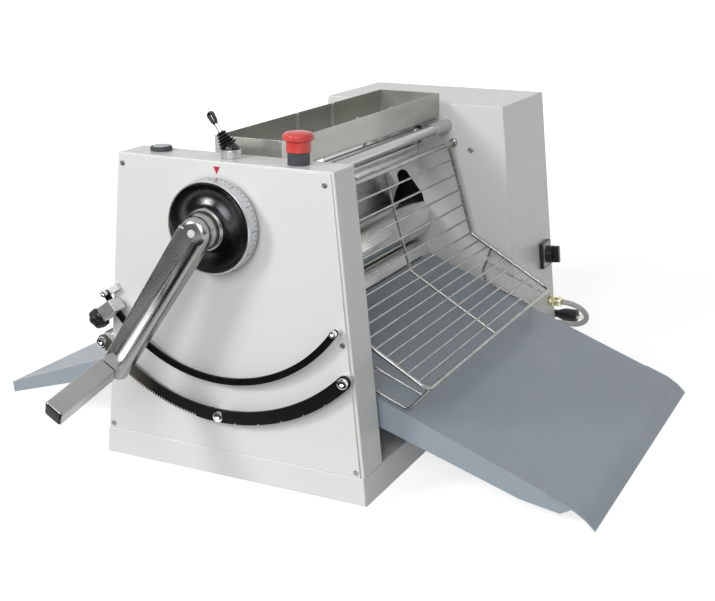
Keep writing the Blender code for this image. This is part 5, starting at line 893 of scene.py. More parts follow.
tang = bar("lever_tang", grip_start - reach * (ARM_THICKNESS * 0.9), grip_start - reach * FIT_GAP, across,
           (GRIP_WIDTH - 0.002, GRIP_HEIGHT - 0.003), (GRIP_WIDTH - 0.002, GRIP_HEIGHT - 0.003), GRIP_EDGE, 4)
weld(lever, [lever_head, blade, tang])
smooth(lever, 32)
fit(lever, cast, "crank", "polished_aluminium", "crank_arm")
grip = bar("crank_grip_bar", grip_start, grip_start + reach * GRIP_LENGTH, across,
           (GRIP_WIDTH, GRIP_HEIGHT), (GRIP_WIDTH + 0.001, GRIP_HEIGHT + 0.001), GRIP_EDGE, 5)
ease(grip, 0.0028, 4, 50)
fit(grip, cast, "crank", "polished_aluminium", "crank_grip")
bright = skin("bright_chrome", (0.80, 0.80, 0.80), 0.10, 1.0, sheen=(90, 0.06, 0.16))
pin_profile = [(0, -0.0010), (0.0054, -0.0010), (0.0054, 0.0006), (0.0046, 0.0014), (0, 0.0018)]
pin_cap = skin("pin_end_white", (0.70, 0.70, 0.66), 0.45,
               drift=(900, (0.60, 0.60, 0.56), (0.76, 0.76, 0.72)))
turned("shaft_end_pin", pin_profile, arm_root + outward * half, outward, 32, 30, pin_cap, "crank",
       "pale_plastic")
set_screw = skin("blackened_set_screw", (0.014, 0.014, 0.015), 0.34, sheen=(600, 0.26, 0.44))
HUB_SCREW_ANGLE = math.radians(-20)
HUB_SCREW_DEPTH = 0.0405
HUB_SIDE = 0.0252
SET_SCREW_RADIUS = 0.0026
SET_SCREW_SOCKET = 0.0012
hub_side = Vector((math.cos(HUB_SCREW_ANGLE), 0, math.sin(HUB_SCREW_ANGLE)))
hub_seat = Vector((DIAL_X, BODY_FRONT - HUB_SCREW_DEPTH, DIAL_Z)) + hub_side * HUB_SIDE
socket_screw("hub_set_screw", hub_seat, hub_side, SET_SCREW_RADIUS, 0.0010, SET_SCREW_SOCKET, "crank",
             "black_steel", set_screw)
knee_seat = knee + along * (ARM_END_WIDTH / 2 - 0.0002) + across * 0.007
socket_screw("grip_set_screw", knee_seat, along, SET_SCREW_RADIUS, 0.0008, SET_SCREW_SOCKET, "crank",
             "black_steel", set_screw)

# The toothed sector, the plain stop rail above it, and their bolts: black-oxidised steel plate, cut round
# the crank's axis and held off the cover by its bosses. Chromed socket bolts hold their ends.
BOLT_HEAD_HEIGHT = 0.0060
SECTOR_FACE = -0.4358
SECTOR_MIDDLE = 0.2685
RAIL_MIDDLE = 0.216
SECTOR_BOLTS = (("sector_bolt_left", 45.5), ("sector_bolt_centre", 0), ("sector_bolt_right", -45.5))
RAIL_BOLTS = (("rail_bolt_left", 57.5), ("rail_bolt_right", -55.5))
SECTOR_HEAD = (0.0075, 0.0034)
RAIL_HEAD = (0.0047, 0.0024)
PLATE_EDGE = 0.0004
PLATE_THICKNESS = 0.0040
SECTOR_HALF_WIDTH = 0.0095
RAIL_HALF_WIDTH = 0.00475
TEETH = 40
TEETH_FROM = 44.0
TEETH_TO = 8.0
TOOTH_DEPTH = 0.0040
TOOTH_STEEP = 0.20
TOOTH_VALLEY_END = 0.62
NOTCH_DEPTH = 0.0030
NOTCHES = (-5.0, -12.75, -20.5, -28.25, -36.0)
NOTCH_HALF = 0.5
ARC_STEP = 1.5
# Where along X the painted brown reflection on the sector's left end starts, and where it is full.
PAINTED_REFLECTION_FROM = -0.105
PAINTED_REFLECTION_FULL = -0.155
black_oxide = skin("black_oxide_steel", (0.004, 0.004, 0.004), 0.40,
                   drift=(60, (0.002, 0.002, 0.002), (0.006, 0.006, 0.0055)), sheen=(220, 0.32, 0.50),
                   Specular_IOR_Level=0.12)
# The sector's black oxide, with a brown tint over its left end that is a painted reflection.
sector_oxide_painted_reflection = skin("black_oxide_painted_reflection", (0.006, 0.006, 0.006), 0.38, sheen=(220, 0.30, 0.46),
                    Specular_IOR_Level=0.2)
reflection_tree = sector_oxide_painted_reflection.node_tree
reflection_place = grow(reflection_tree, "TexCoord", {})["Object"]
across_sector = grow(reflection_tree, "SeparateXYZ", {"Vector": reflection_place})["X"]
painted_reflection = grow(reflection_tree, "MapRange", {"Value": across_sector, "From Min": PAINTED_REFLECTION_FROM, "From Max": PAINTED_REFLECTION_FULL},
            interpolation_type="SMOOTHSTEP")["Result"]
reflection_tint = reflection_tree.nodes.new("ShaderNodeMix")
reflection_tint.data_type = "RGBA"
reflection_tint.inputs[6].default_value = (0.005, 0.005, 0.005, 1.0)
reflection_tint.inputs[7].default_value = (0.085, 0.078, 0.062, 1.0)
reflection_tree.links.new(painted_reflection, reflection_tint.inputs[0])
steer(reflection_tree, reflection_tint.outputs[2], "Base Color")


def round_crank(degrees, radius):
    """A place round the crank's axis, from straight down, positive to the left."""
    angle = math.radians(degrees)
    return DIAL_X - math.sin(angle) * radius, DIAL_Z - math.cos(angle) * radius


def sweep(first, last, radius):
    """Places along an arc round the crank."""
    steps = max(1, round(abs(last - first) / ARC_STEP))
    return [round_crank(first + (last - first) * step / steps, radius) for step in range(steps + 1)]


def round_end(degrees, radius, reach, onward):
    """The half-round end of a curved strip about its last bolt, from its outer to its inner edge."""
    middle = Vector(round_crank(degrees, radius))
    out = (middle - Vector((DIAL_X, DIAL_Z))).normalized()
    away = Vector((out.y, -out.x)) * onward
    steps = 10
    places = []
    for step in range(1, steps):
        turn = math.pi * step / steps
        places.append(tuple(middle + (out * math.cos(turn) + away * math.sin(turn)) * reach))
    return places


outer_edge = SECTOR_MIDDLE + SECTOR_HALF_WIDTH
left_end, right_end = SECTOR_BOLTS[0][1], SECTOR_BOLTS[2][1]
sector_outline = sweep(right_end, left_end, SECTOR_MIDDLE - SECTOR_HALF_WIDTH)
sector_outline += round_end(left_end, SECTOR_MIDDLE, SECTOR_HALF_WIDTH, 1)[::-1]
sector_outline.append(round_crank(left_end, outer_edge))
for tooth in range(TEETH):
    start = TEETH_FROM + (TEETH_TO - TEETH_FROM) * tooth / TEETH
    foot = TEETH_FROM + (TEETH_TO - TEETH_FROM) * (tooth + TOOTH_STEEP) / TEETH
    rise = TEETH_FROM + (TEETH_TO - TEETH_FROM) * (tooth + TOOTH_VALLEY_END) / TEETH
    sector_outline += [round_crank(start, outer_edge), round_crank(foot, outer_edge - TOOTH_DEPTH),
                       round_crank(rise, outer_edge - TOOTH_DEPTH)]
sector_outline += sweep(TEETH_TO, NOTCHES[0] + NOTCH_HALF, outer_edge)
for notch, following in zip(NOTCHES, (*NOTCHES[1:], right_end - NOTCH_HALF)):
    sector_outline.append(round_crank(notch, outer_edge - NOTCH_DEPTH))
    sector_outline += sweep(notch - NOTCH_HALF, following + NOTCH_HALF, outer_edge)
sector_outline += round_end(right_end, SECTOR_MIDDLE, SECTOR_HALF_WIDTH, -1)
rail_left, rail_right = RAIL_BOLTS[0][1], RAIL_BOLTS[1][1]
rail_outline = sweep(rail_right, rail_left, RAIL_MIDDLE - RAIL_HALF_WIDTH)
rail_outline += round_end(rail_left, RAIL_MIDDLE, RAIL_HALF_WIDTH, 1)[::-1]
rail_outline += sweep(rail_left, rail_right, RAIL_MIDDLE + RAIL_HALF_WIDTH)
rail_outline += round_end(rail_right, RAIL_MIDDLE, RAIL_HALF_WIDTH, -1)
for name, node, outline, oxide in (("toothed_sector_plate", "toothed_sector", sector_outline, sector_oxide_painted_reflection),
                                   ("stop_rail_bar", "stop_rail", rail_outline, black_oxide)):
    back_face = (0, SECTOR_FACE + PLATE_THICKNESS, 0)
    strip = plate(name, outline, back_face, (0, -1, 0), PLATE_THICKNESS, (1, 0, 0))
    fit(ease(strip, PLATE_EDGE, 2, 80), oxide, "frame", "black_steel", node)

for bolts, middle, (radius, socket) in ((SECTOR_BOLTS, SECTOR_MIDDLE, SECTOR_HEAD),
                                        (RAIL_BOLTS, RAIL_MIDDLE, RAIL_HEAD)):
    for name, degrees in bolts:
        x, z = round_crank(degrees, middle)
        socket_screw(name + "_head", (x, SECTOR_FACE, z), (0, -1, 0), radius, BOLT_HEAD_HEIGHT, socket,
                     "frame", "chrome", bright, name)

# The end stop: a zinc clamp block that slides round the rail, and its black lobed knob on a chromed stud.
# The knob is moulded plastic with a ribbed grip and a flat cap.
STOP_DEGREES = 51.5
STOP_OUTER = 0.22925
STOP_KNOB_Y = -0.441
KNOB_RADIUS = 0.015
KNOB_LENGTH = 0.0195
KNOB_STUD = 0.003
STUD_RADIUS = 0.0050
KNOB_LOBES = 6
zinc_cast = skin("zinc_casting", (0.64, 0.645, 0.65), 0.38, 0.85,
                 drift=(80, (0.56, 0.565, 0.57), (0.72, 0.725, 0.73)), sheen=(260, 0.30, 0.50))
fit(ease(remade("end_stop_block", "stop_block"), 0.0012, 3, 40), zinc_cast, "end_stop", "zinc", "stop_block")
black_plastic = skin("black_moulding", (0.012, 0.012, 0.013), 0.32, sheen=(200, 0.26, 0.42),
                     grain=(1500, 0.00006, 0.3))


def flute(piece, start, axis, count, past, low, high, depth):
    """Presses hollows round a turned piece, between two heights and outside a radius."""
    forward = Vector(axis).normalized()
    first = forward.orthogonal().normalized()
    second = forward.cross(first)
    for vertex in piece.data.vertices:
        away = vertex.co - Vector(start)
        height = away.dot(forward)
        out = away - forward * height
        if out.length < past or not low <= height <= high:
            continue
        angle = math.atan2(out.dot(second), out.dot(first))
        vertex.co -= out.normalized() * (depth * (1 - math.cos(angle * count)) / 2)
    return piece


stop_angle = math.radians(STOP_DEGREES)
stop_x, stop_z = round_crank(STOP_DEGREES, STOP_OUTER)
knob_seat = Vector((stop_x, STOP_KNOB_Y, stop_z))
knob_away = Vector((-math.sin(stop_angle), 0, -math.cos(stop_angle)))
stud_profile = [(0, FIT_GAP), (STUD_RADIUS, FIT_GAP), (STUD_RADIUS, KNOB_STUD), (0, KNOB_STUD)]
turned("end_stop_stud", stud_profile, knob_seat, knob_away, 32, 30, bright, "end_stop_knob", "chrome")
knob_end = KNOB_STUD + KNOB_LENGTH
knob_profile = [(0, KNOB_STUD), (0.0082, KNOB_STUD), (0.0090, KNOB_STUD + 0.0008),
                (0.0098, KNOB_STUD + 0.0045), (0.0138, KNOB_STUD + 0.0056), (KNOB_RADIUS, KNOB_STUD + 0.0070),
                (KNOB_RADIUS, knob_end - 0.0042), (0.0146, knob_end - 0.0022), (0.0130, knob_end - 0.0008),
                (0.0105, knob_end), (0, knob_end)]
knob = lathe("end_stop_knob_cap", knob_profile, knob_seat, knob_away, KNOB_LOBES * 12)
flute(knob, knob_seat, knob_away, KNOB_LOBES, 0.0120, KNOB_STUD + 0.005, knob_end, 0.0016)
smooth(knob, 40)
fit(knob, black_plastic, "end_stop_knob", "black_plastic", "stop_knob")

# The joystick on top of the front housing: chromed collar, ribbed rubber boot, chromed stick, looped grip.
# The boot is screwed down by the collar and flexes with the stick.
TOP = 0.4503
JOYSTICK_X = -0.003
JOYSTICK_Y = -0.3885
STICK_LEAN = math.radians(34)
PIVOT_RISE = 0.009
BALL_RADIUS = 0.0115
BOOT_RIBS = 5
BOOT_START = 0.0080
BOOT_END = 0.0285
BOOT_FIRST_RIDGE = 0.0128
BOOT_RIDGE_STEP = 0.0014
STICK_RADIUS = 0.0028
STICK_END = 0.0405
LOOP_LENGTH = 0.0190
LOOP_TUBE = 0.0025
LOOP_HALF_WIDTH = 0.0033
LOOP_FLARE = 18
joystick_foot = Vector((JOYSTICK_X, JOYSTICK_Y, TOP))
collar_profile = [(BALL_RADIUS + 0.0009, 0), (0.0145, 0), (0.0145, 0.0016), (0.0138, 0.0022),
                  (0.0138, 0.0092), (0.0134, 0.0104), (0.0128, 0.0110), (BALL_RADIUS + 0.0009, 0.0110)]
collar_profile.append(collar_profile[0])
collar = lathe("joystick_collar_nut", collar_profile, joystick_foot, (0, 0, 1), 144)
flute(collar, joystick_foot, (0, 0, 1), 36, 0.0132, 0.0018, 0.0100, 0.0003)
smooth(collar, 30)
collar_chrome = skin("satin_chrome_collar", (0.62, 0.62, 0.61), 0.30, 1.0, sheen=(300, 0.26, 0.38))
fit(collar, collar_chrome, "frame", "chrome", "joystick_collar")
pivot = joystick_foot + Vector((0, 0, PIVOT_RISE))
lean = Vector((-math.sin(STICK_LEAN), 0, math.cos(STICK_LEAN)))
boot_profile = [(0, -BALL_RADIUS)]
for step in range(1, 9):
    angle = -math.pi / 2 + math.radians(128) * step / 8
    boot_profile.append((BALL_RADIUS * math.cos(angle), BALL_RADIUS * math.sin(angle)))
pitch = (BOOT_END - BOOT_START) / BOOT_RIBS
for rib in range(BOOT_RIBS):
    low = BOOT_START + pitch * rib
    ridge = BOOT_FIRST_RIDGE - BOOT_RIDGE_STEP * rib
    boot_profile += [(ridge * 0.74, low), (ridge * 0.95, low + pitch * 0.22), (ridge, low + pitch * 0.42),
                     (ridge * 0.93, low + pitch * 0.62), (ridge * 0.70, low + pitch * 0.90)]
boot_profile += [(0.0042, BOOT_END), (0, BOOT_END)]
gloss_rubber = skin("glossy_rubber", (0.008, 0.008, 0.009), 0.22, sheen=(240, 0.18, 0.34))
turned("joystick_boot_bellows", boot_profile, pivot, lean, 48, 50, gloss_rubber, "joystick",
       "black_plastic", "joystick_boot")
stick_profile = [(0, BOOT_END), (0.0034, BOOT_END), (0.0034, BOOT_END + 0.0012),
                 (STICK_RADIUS, BOOT_END + 0.0018), (STICK_RADIUS, STICK_END), (0, STICK_END)]
turned("joystick_stick_rod", stick_profile, pivot, lean, 32, 30, bright, "joystick", "chrome",
       "joystick_stick")
stick_side = Vector((math.cos(STICK_LEAN), 0, math.sin(STICK_LEAN)))
bpy.ops.mesh.primitive_torus_add(major_radius=LOOP_HALF_WIDTH, minor_radius=LOOP_TUBE, major_segments=40,
                                 minor_segments=20)
loop = fresh("joystick_loop_grip")
stretch = LOOP_LENGTH / 2 - LOOP_HALF_WIDTH - LOOP_TUBE
for vertex in loop.data.vertices:
    vertex.co.y += math.copysign(stretch, vertex.co.y)
    vertex.co.x *= 1 + vertex.co.y * LOOP_FLARE
settle(loop, pivot + lean * (STICK_END + LOOP_LENGTH / 2), stick_side, lean)
neck_profile = [(0, STICK_END + 0.0002), (0.0032, STICK_END + 0.0002), (0.0036, STICK_END + 0.0020),
                (0.0030, STICK_END + 0.0042), (0, STICK_END + 0.0046)]
weld(loop, [lathe("grip_neck", neck_profile, pivot, lean, 32)])
smooth(loop, 40)
fit(loop, gloss_rubber, "joystick", "black_plastic", "joystick_grip")

# The emergency stop: a red mushroom head with its skirt over a ribbed dark-grey collar.
# The head is moulded plastic, a little chalky with use, and goes down four millimetres.
STOP_X = 0.100
STOP_Y = -0.3915
stop_foot = Vector((STOP_X, STOP_Y, TOP))
dark_grey = skin("dark_grey_moulding", (0.060, 0.064, 0.072), 0.42,
                 drift=(90, (0.052, 0.056, 0.064), (0.070, 0.075, 0.084)), sheen=(300, 0.36, 0.50))
ring_profile = [(0.0070, 0), (0.0150, 0), (0.0150, 0.0010), (0.0146, 0.0014), (0.0146, 0.0146),
                (0.0150, 0.0150), (0.0147, 0.0160), (0.0070, 0.0160)]
ring_profile.append(ring_profile[0])
stop_ring = lathe("stop_button_collar_ring", ring_profile, stop_foot, (0, 0, 1), 180)
flute(stop_ring, stop_foot, (0, 0, 1), 30, 0.0144, 0.0012, 0.0148, 0.0006)
smooth(stop_ring, 30)
fit(stop_ring, dark_grey, "frame", "dark_grey_plastic", "stop_button_collar")
red = skin("signal_red_moulding", (0.60, 0.030, 0.026), 0.34,
           drift=(70, (0.62, 0.046, 0.040), (0.70, 0.062, 0.054)), sheen=(180, 0.28, 0.42), Coat_Weight=0.2,
           Coat_Roughness=0.2)
head_profile = [(0, 0.0215), (0.0154, 0.0215), (0.0154, 0.0168), (0.0160, 0.0164), (0.0165, 0.0170),
                (0.0163, 0.0288), (0.0168, 0.0308), (0.0196, 0.0316), (0.0205, 0.0326), (0.0205, 0.0368),
                (0.0201, 0.0384), (0.0188, 0.0400), (0.0164, 0.0414), (0.0120, 0.0424), (0.0060, 0.0429),
                (0, 0.0430)]
turned("stop_button_mushroom", head_profile, stop_foot, (0, 0, 1), 96, 32, red, "emergency_button",
       "red_plastic", "stop_button_head")

# The start button: a dark ribbed bezel ring with a pale grey cap, flush-mounted in the same panel.
# The cap is a shallow moulded dome.
START_X = -0.118
START_Y = -0.3835
start_foot = Vector((START_X, START_Y, TOP))
bezel_profile = [(0.0120, 0), (0.0150, 0), (0.0150, 0.0046), (0.0146, 0.0056), (0.0140, 0.0060),
                 (0.0128, 0.0060), (0.0120, 0.0052)]
bezel_profile.append(bezel_profile[0])
bezel = lathe("start_button_bezel", bezel_profile, start_foot, (0, 0, 1), 180)
flute(bezel, start_foot, (0, 0, 1), 30, 0.0147, 0.0, 0.0050, 0.0005)
smooth(bezel, 30)
fit(bezel, dark_grey, "frame", "dark_grey_plastic", "start_bezel")
pale = skin("pale_grey_moulding", (0.50, 0.51, 0.50), 0.38,
            drift=(100, (0.47, 0.48, 0.47), (0.53, 0.54, 0.53)), sheen=(240, 0.32, 0.46))
cap_profile = [(0, 0.0035), (0.0112, 0.0035), (0.0115, 0.0040), (0.0113, 0.0062), (0.0106, 0.0070),
               (0.0080, 0.0074), (0, 0.0075)]
turned("start_button_cap", cap_profile, start_foot, (0, 0, 1), 64, 30, pale, "start_cap", "pale_plastic",
       "start_button")

# The main switch on the rear housing's side: a square black plate with a pale face and a ribbed turning knob.
# The plate is screwed through the sheet, and follows its lean.
SWITCH_SEAT = Vector((0.1955, 0.3735, 0.158))
SWITCH_NORMAL = Vector((0.99459, 0, 0.10388))
SWITCH_FACE_HALF = 0.0200
SWITCH_CORNER = 0.003
SWITCH_DEPTH = 0.0070
SWITCH_HOLE_RADIUS = 0.0163
for name, node, edge, body in (("switch_square_plate", "switch_plate", 0.0012, "frame"),
                               ("switch_turning_knob", "switch_knob", 0.0011, "switch")):
    fit(ease(remade(name, node), edge, 3, 40), black_plastic, body, "black_plastic", node)
corners = []
corner_place = SWITCH_FACE_HALF - SWITCH_CORNER
for x, y in ((1, 1), (-1, 1), (-1, -1), (1, -1)):
    for step in range(5):
        angle = math.atan2(y, x) - math.pi / 4 + math.pi / 2 * step / 4
        corners.append((x * corner_place + SWITCH_CORNER * math.cos(angle),
                        y * corner_place + SWITCH_CORNER * math.sin(angle)))
face_plate = plate("switch_face", corners, SWITCH_SEAT + SWITCH_NORMAL * SWITCH_DEPTH, SWITCH_NORMAL, 0.0004,
                   (0, 1, 0))
hole_profile = [(0, -0.002), (SWITCH_HOLE_RADIUS, -0.002), (SWITCH_HOLE_RADIUS, 0.003), (0, 0.003)]
bore_face = lathe("face_hole", hole_profile, SWITCH_SEAT + SWITCH_NORMAL * SWITCH_DEPTH, SWITCH_NORMAL, 48)
weld(face_plate, [bore_face], "DIFFERENCE")
fit(face_plate, pale, "frame", "pale_plastic")

# The rollers: ground and hard-chromed steel tubes with turned ends on 22 mm journals.
# The lower one stays, and the upper one rides in its hangers behind the windows.
ROLLER_X = 0.006
UPPER_ROLLER_Z = 0.245
LOWER_ROLLER_Z = 0.1723
ROLLER_RADIUS = 0.035
ROLLER_NEAR = -0.360
ROLLER_FAR = 0.204
JOURNAL = 0.011
roller_chrome = skin("ground_roller_chrome", (0.76, 0.755, 0.74), 0.16, 1.0,
                     sheen=((220, (0.2, 6, 0.2)), 0.11, 0.24), grain=((500, (0.1, 8, 0.1)), 0.00001, 0.3))
for name, node, body, z in (("upper_roller_ground", "upper_roller", "top_roller", UPPER_ROLLER_Z),
                            ("lower_roller_ground", "lower_roller", "bottom_roller", LOWER_ROLLER_Z)):
    low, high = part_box(node)
    near, far, whole = ROLLER_NEAR - low[1], ROLLER_FAR - low[1], high[1] - low[1]
    profile = [(0, 0), (JOURNAL, 0), (JOURNAL, near), (ROLLER_RADIUS - 0.0012, near),
               (ROLLER_RADIUS, near + 0.0012), (ROLLER_RADIUS, far - 0.0012), (ROLLER_RADIUS - 0.0012, far),
               (JOURNAL, far), (JOURNAL, whole), (0, whole)]
    turned(name, profile, (ROLLER_X, low[1], z), (0, 1, 0), 128, 30, roller_chrome, body, "roller_chrome",
           node)

# Tie bars, the thin rod with its clip, and the header strip join the two roller walls under the bin.
# The bars are chromed, with a pale plastic sleeve over the rear end.
TIE_RADIUS = 0.0085
SLEEVE_RADIUS = 0.0105
SLEEVE_LENGTH = 0.060
TIE_Z = 0.413
TIE_RIGHT_X = 0.064
TIE_LEFT_X = -0.076
THIN_RADIUS = 0.0030
THIN_COLLAR_RADIUS = 0.0052
CLIP_X = 0.0235
CLIP_Y = 0.1785
CLIP_FOOT = 0.384
CLIP_TOP = 0.4125
THIN_ROD = Vector((0.024, 0, 0.408))
tie_chrome = skin("dulled_tie_bar_chrome", (0.46, 0.46, 0.45), 0.16, 1.0,
                  sheen=((120, (0.2, 5, 0.2)), 0.12, 0.24))
sleeve_white = skin("sleeve_plastic", (0.55, 0.55, 0.53), 0.40,
                    drift=(80, (0.50, 0.50, 0.48), (0.60, 0.60, 0.58)))
for name, node, x in (("tie_bar_right_rod", "tie_bar_right", TIE_RIGHT_X),
                      ("tie_bar_left_rod", "tie_bar_left", TIE_LEFT_X)):
    low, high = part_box(node)
    whole = high[1] - low[1]
    profile = [(0, 0), (TIE_RADIUS - 0.0008, 0), (TIE_RADIUS, 0.0008), (TIE_RADIUS, whole), (0, whole)]
    turned(name, profile, (x, low[1], TIE_Z), (0, 1, 0), 64, 30, tie_chrome, "frame", "chrome", node)
    start = whole - SLEEVE_LENGTH
    profile = [(TIE_RADIUS, start), (SLEEVE_RADIUS - 0.0008, start), (SLEEVE_RADIUS, start + 0.0010),
               (SLEEVE_RADIUS, whole), (TIE_RADIUS, whole)]
    profile.append(profile[0])
    turned(name.replace("rod", "sleeve"), profile, (x, low[1], TIE_Z), (0, 1, 0), 64, 30, sleeve_white,
           "frame", "pale_plastic")
rod_start = Vector((THIN_ROD.x, FRONT_WALL, THIN_ROD.z))
rod_length = REAR_WALL - FRONT_WALL
thin_profile = [(0, 0), (THIN_RADIUS, 0), (THIN_RADIUS, rod_length - 0.050),
                (THIN_COLLAR_RADIUS, rod_length - 0.050), (THIN_COLLAR_RADIUS, rod_length - 0.040),
                (THIN_RADIUS, rod_length - 0.040), (THIN_RADIUS, rod_length), (0, rod_length)]
turned("thin_cross_rod", thin_profile, rod_start, (0, 1, 0), 32, 30, bright, "frame", "chrome")
clip = bar("cross_rod_clip", Vector((CLIP_X, CLIP_Y, CLIP_FOOT)), Vector((CLIP_X, CLIP_Y, CLIP_TOP)),
           Vector((1, 0, 0)), (0.0075, 0.0080), (0.0095, 0.0080), 0.0015, 3)
fit(clip, black_plastic, "frame", "black_plastic")
steel = skin("brushed_stainless", (0.58, 0.585, 0.59), 0.30, 1.0,
             drift=((40, (1, 0.15, 1)), (0.54, 0.545, 0.55), (0.63, 0.635, 0.64)),
             sheen=((260, (5, 0.15, 5)), 0.22, 0.38))
fit(ease(remade("guard_header_strip", "guard_header"), 0.0006, 2, 40), steel, "frame", "housing_paint",
    "guard_header")

# The flour bin: a long folded stainless tray that lifts out, with a pair of upright guide fins in each side.
# Its near corners carry pale pressed brackets, and the sheet's top edge is left bright.
BIN_LEFT = -0.062
BIN_RIGHT = 0.050
BIN_NEAR = -0.333
BIN_TOP = 0.467
BRACKET_WIDTH = 0.0075
BRACKET_SHEET = 0.0010
BRACKET_FOOT = 0.4265
BRACKET_RISE = 0.0006
bin_steel = skin("bin_stainless", (0.42, 0.42, 0.385), 0.20, 0.55,
                 drift=((30, (1, 0.2, 1)), (0.37, 0.37, 0.335), (0.47, 0.47, 0.435)),
                 sheen=((240, (6, 0.2, 6)), 0.15, 0.27))
fit(ease(remade("flour_bin_tray", "flour_bin"), 0.0004, 2, 40), bin_steel, "bin", "stainless", "flour_bin")
for name, x, toward in (("bin_bracket_left", BIN_LEFT, 1), ("bin_bracket_right", BIN_RIGHT, -1)):
    outline = [(0, 0), (0, BRACKET_WIDTH), (-BRACKET_SHEET, BRACKET_WIDTH), (-BRACKET_SHEET, -BRACKET_SHEET),
               (BRACKET_WIDTH, -BRACKET_SHEET), (BRACKET_WIDTH, 0)]
    drawn = [(first * toward, second) for first, second in outline]
    height = BIN_TOP - BRACKET_FOOT + BRACKET_RISE
    bracket = plate(name, drawn, (x, BIN_NEAR, BRACKET_FOOT), (0, 0, 1), height, (1, 0, 0))
    fit(ease(bracket, 0.0002, 2, 40), pale, "bin", "stainless")

# The two wire guards: a bent six-millimetre stainless frame with thinner wires welded across it, a cheek
# at each end that rests on the chute, and a pivot rod with collars at the top. Each swings up and out.
GUARD_X = 0.078
GUARD_Z = 0.384
GUARD_BEND = (0.124, 0.232)
GUARD_REACH = (0.267, 0.150)
GUARD_NEAR = -0.3455
GUARD_FAR = 0.183
GUARD_MIDDLE = -0.0815
FRAME_RADIUS = 0.0030
WIRE_RADIUS = 0.0017
STEEP_WIRES = 6
SLOPE_WIRES = 8
CHEEK_SHARES = (0.26, 0.16, 0.20, 0.80)
CHEEK_REST = 0.0035
RUNG_SHARES = (0.40, 0.75)
CORNER_RADIUS = 0.012
PEG_RISE = 0.012
PIVOT_ROD = 0.004
PIVOT_COLLAR = 0.007
RIGHT_CHUTE_TOP = ((0.0465, 0.188), (0.193, 0.131), (0.402, 0.053), (0.477, 0.025))
LEFT_CHUTE_TOP = ((0.0465, 0.1955), (0.193, 0.141), (0.446, 0.047))


def rounded(points, radius, steps=6):
    """The same way round its corners on arcs."""
    way = [Vector(point) for point in points]
    turned_way = [way[0]]
    for before, corner, after in zip(way, way[1:], way[2:]):
        first = (before - corner).normalized()
        second = (after - corner).normalized()
        half_angle = first.angle(second) / 2
        length = min((before - corner).length, (after - corner).length) * 0.45
        cut = min(radius / math.tan(half_angle), length)
        bend = cut * math.tan(half_angle)
        centre = corner + (first + second).normalized() * (bend / math.sin(half_angle))
        start = (corner + first * cut - centre).normalized()
        end = (corner + second * cut - centre).normalized()
        turned_way += [centre + start.slerp(end, step / steps) * bend for step in range(steps + 1)]
    turned_way.append(way[-1])
    return turned_way


def wire(points, radius, sides=3):
    """A round wire along a way, as a mesh."""
    curve = bpy.data.curves.new("wire", "CURVE")
    curve.dimensions = "3D"
    curve.bevel_depth = radius
    curve.bevel_resolution = sides
    curve.use_fill_caps = True
    line = curve.splines.new("POLY")
    line.points.add(len(points) - 1)
    for knot, point in zip(line.points, points):
        knot.co = (*point, 1)
    made = bpy.data.objects.new("wire", curve)
    bpy.context.scene.collection.objects.link(made)
    only(made)
    bpy.ops.object.convert(target="MESH")
    return bpy.context.active_object


def part_way(first, second, share):
    """A place between two places."""
    return tuple(near + (far - near) * share for near, far in zip(first, second))


def along_chute(line, x):
    """The chute's height at a distance from the middle."""
    for (x0, z0), (x1, z1) in zip(line, line[1:]):
        if x <= x1 or (x1, z1) == line[-1]:
            return z0 + (z1 - z0) * (x - x0) / (x1 - x0)


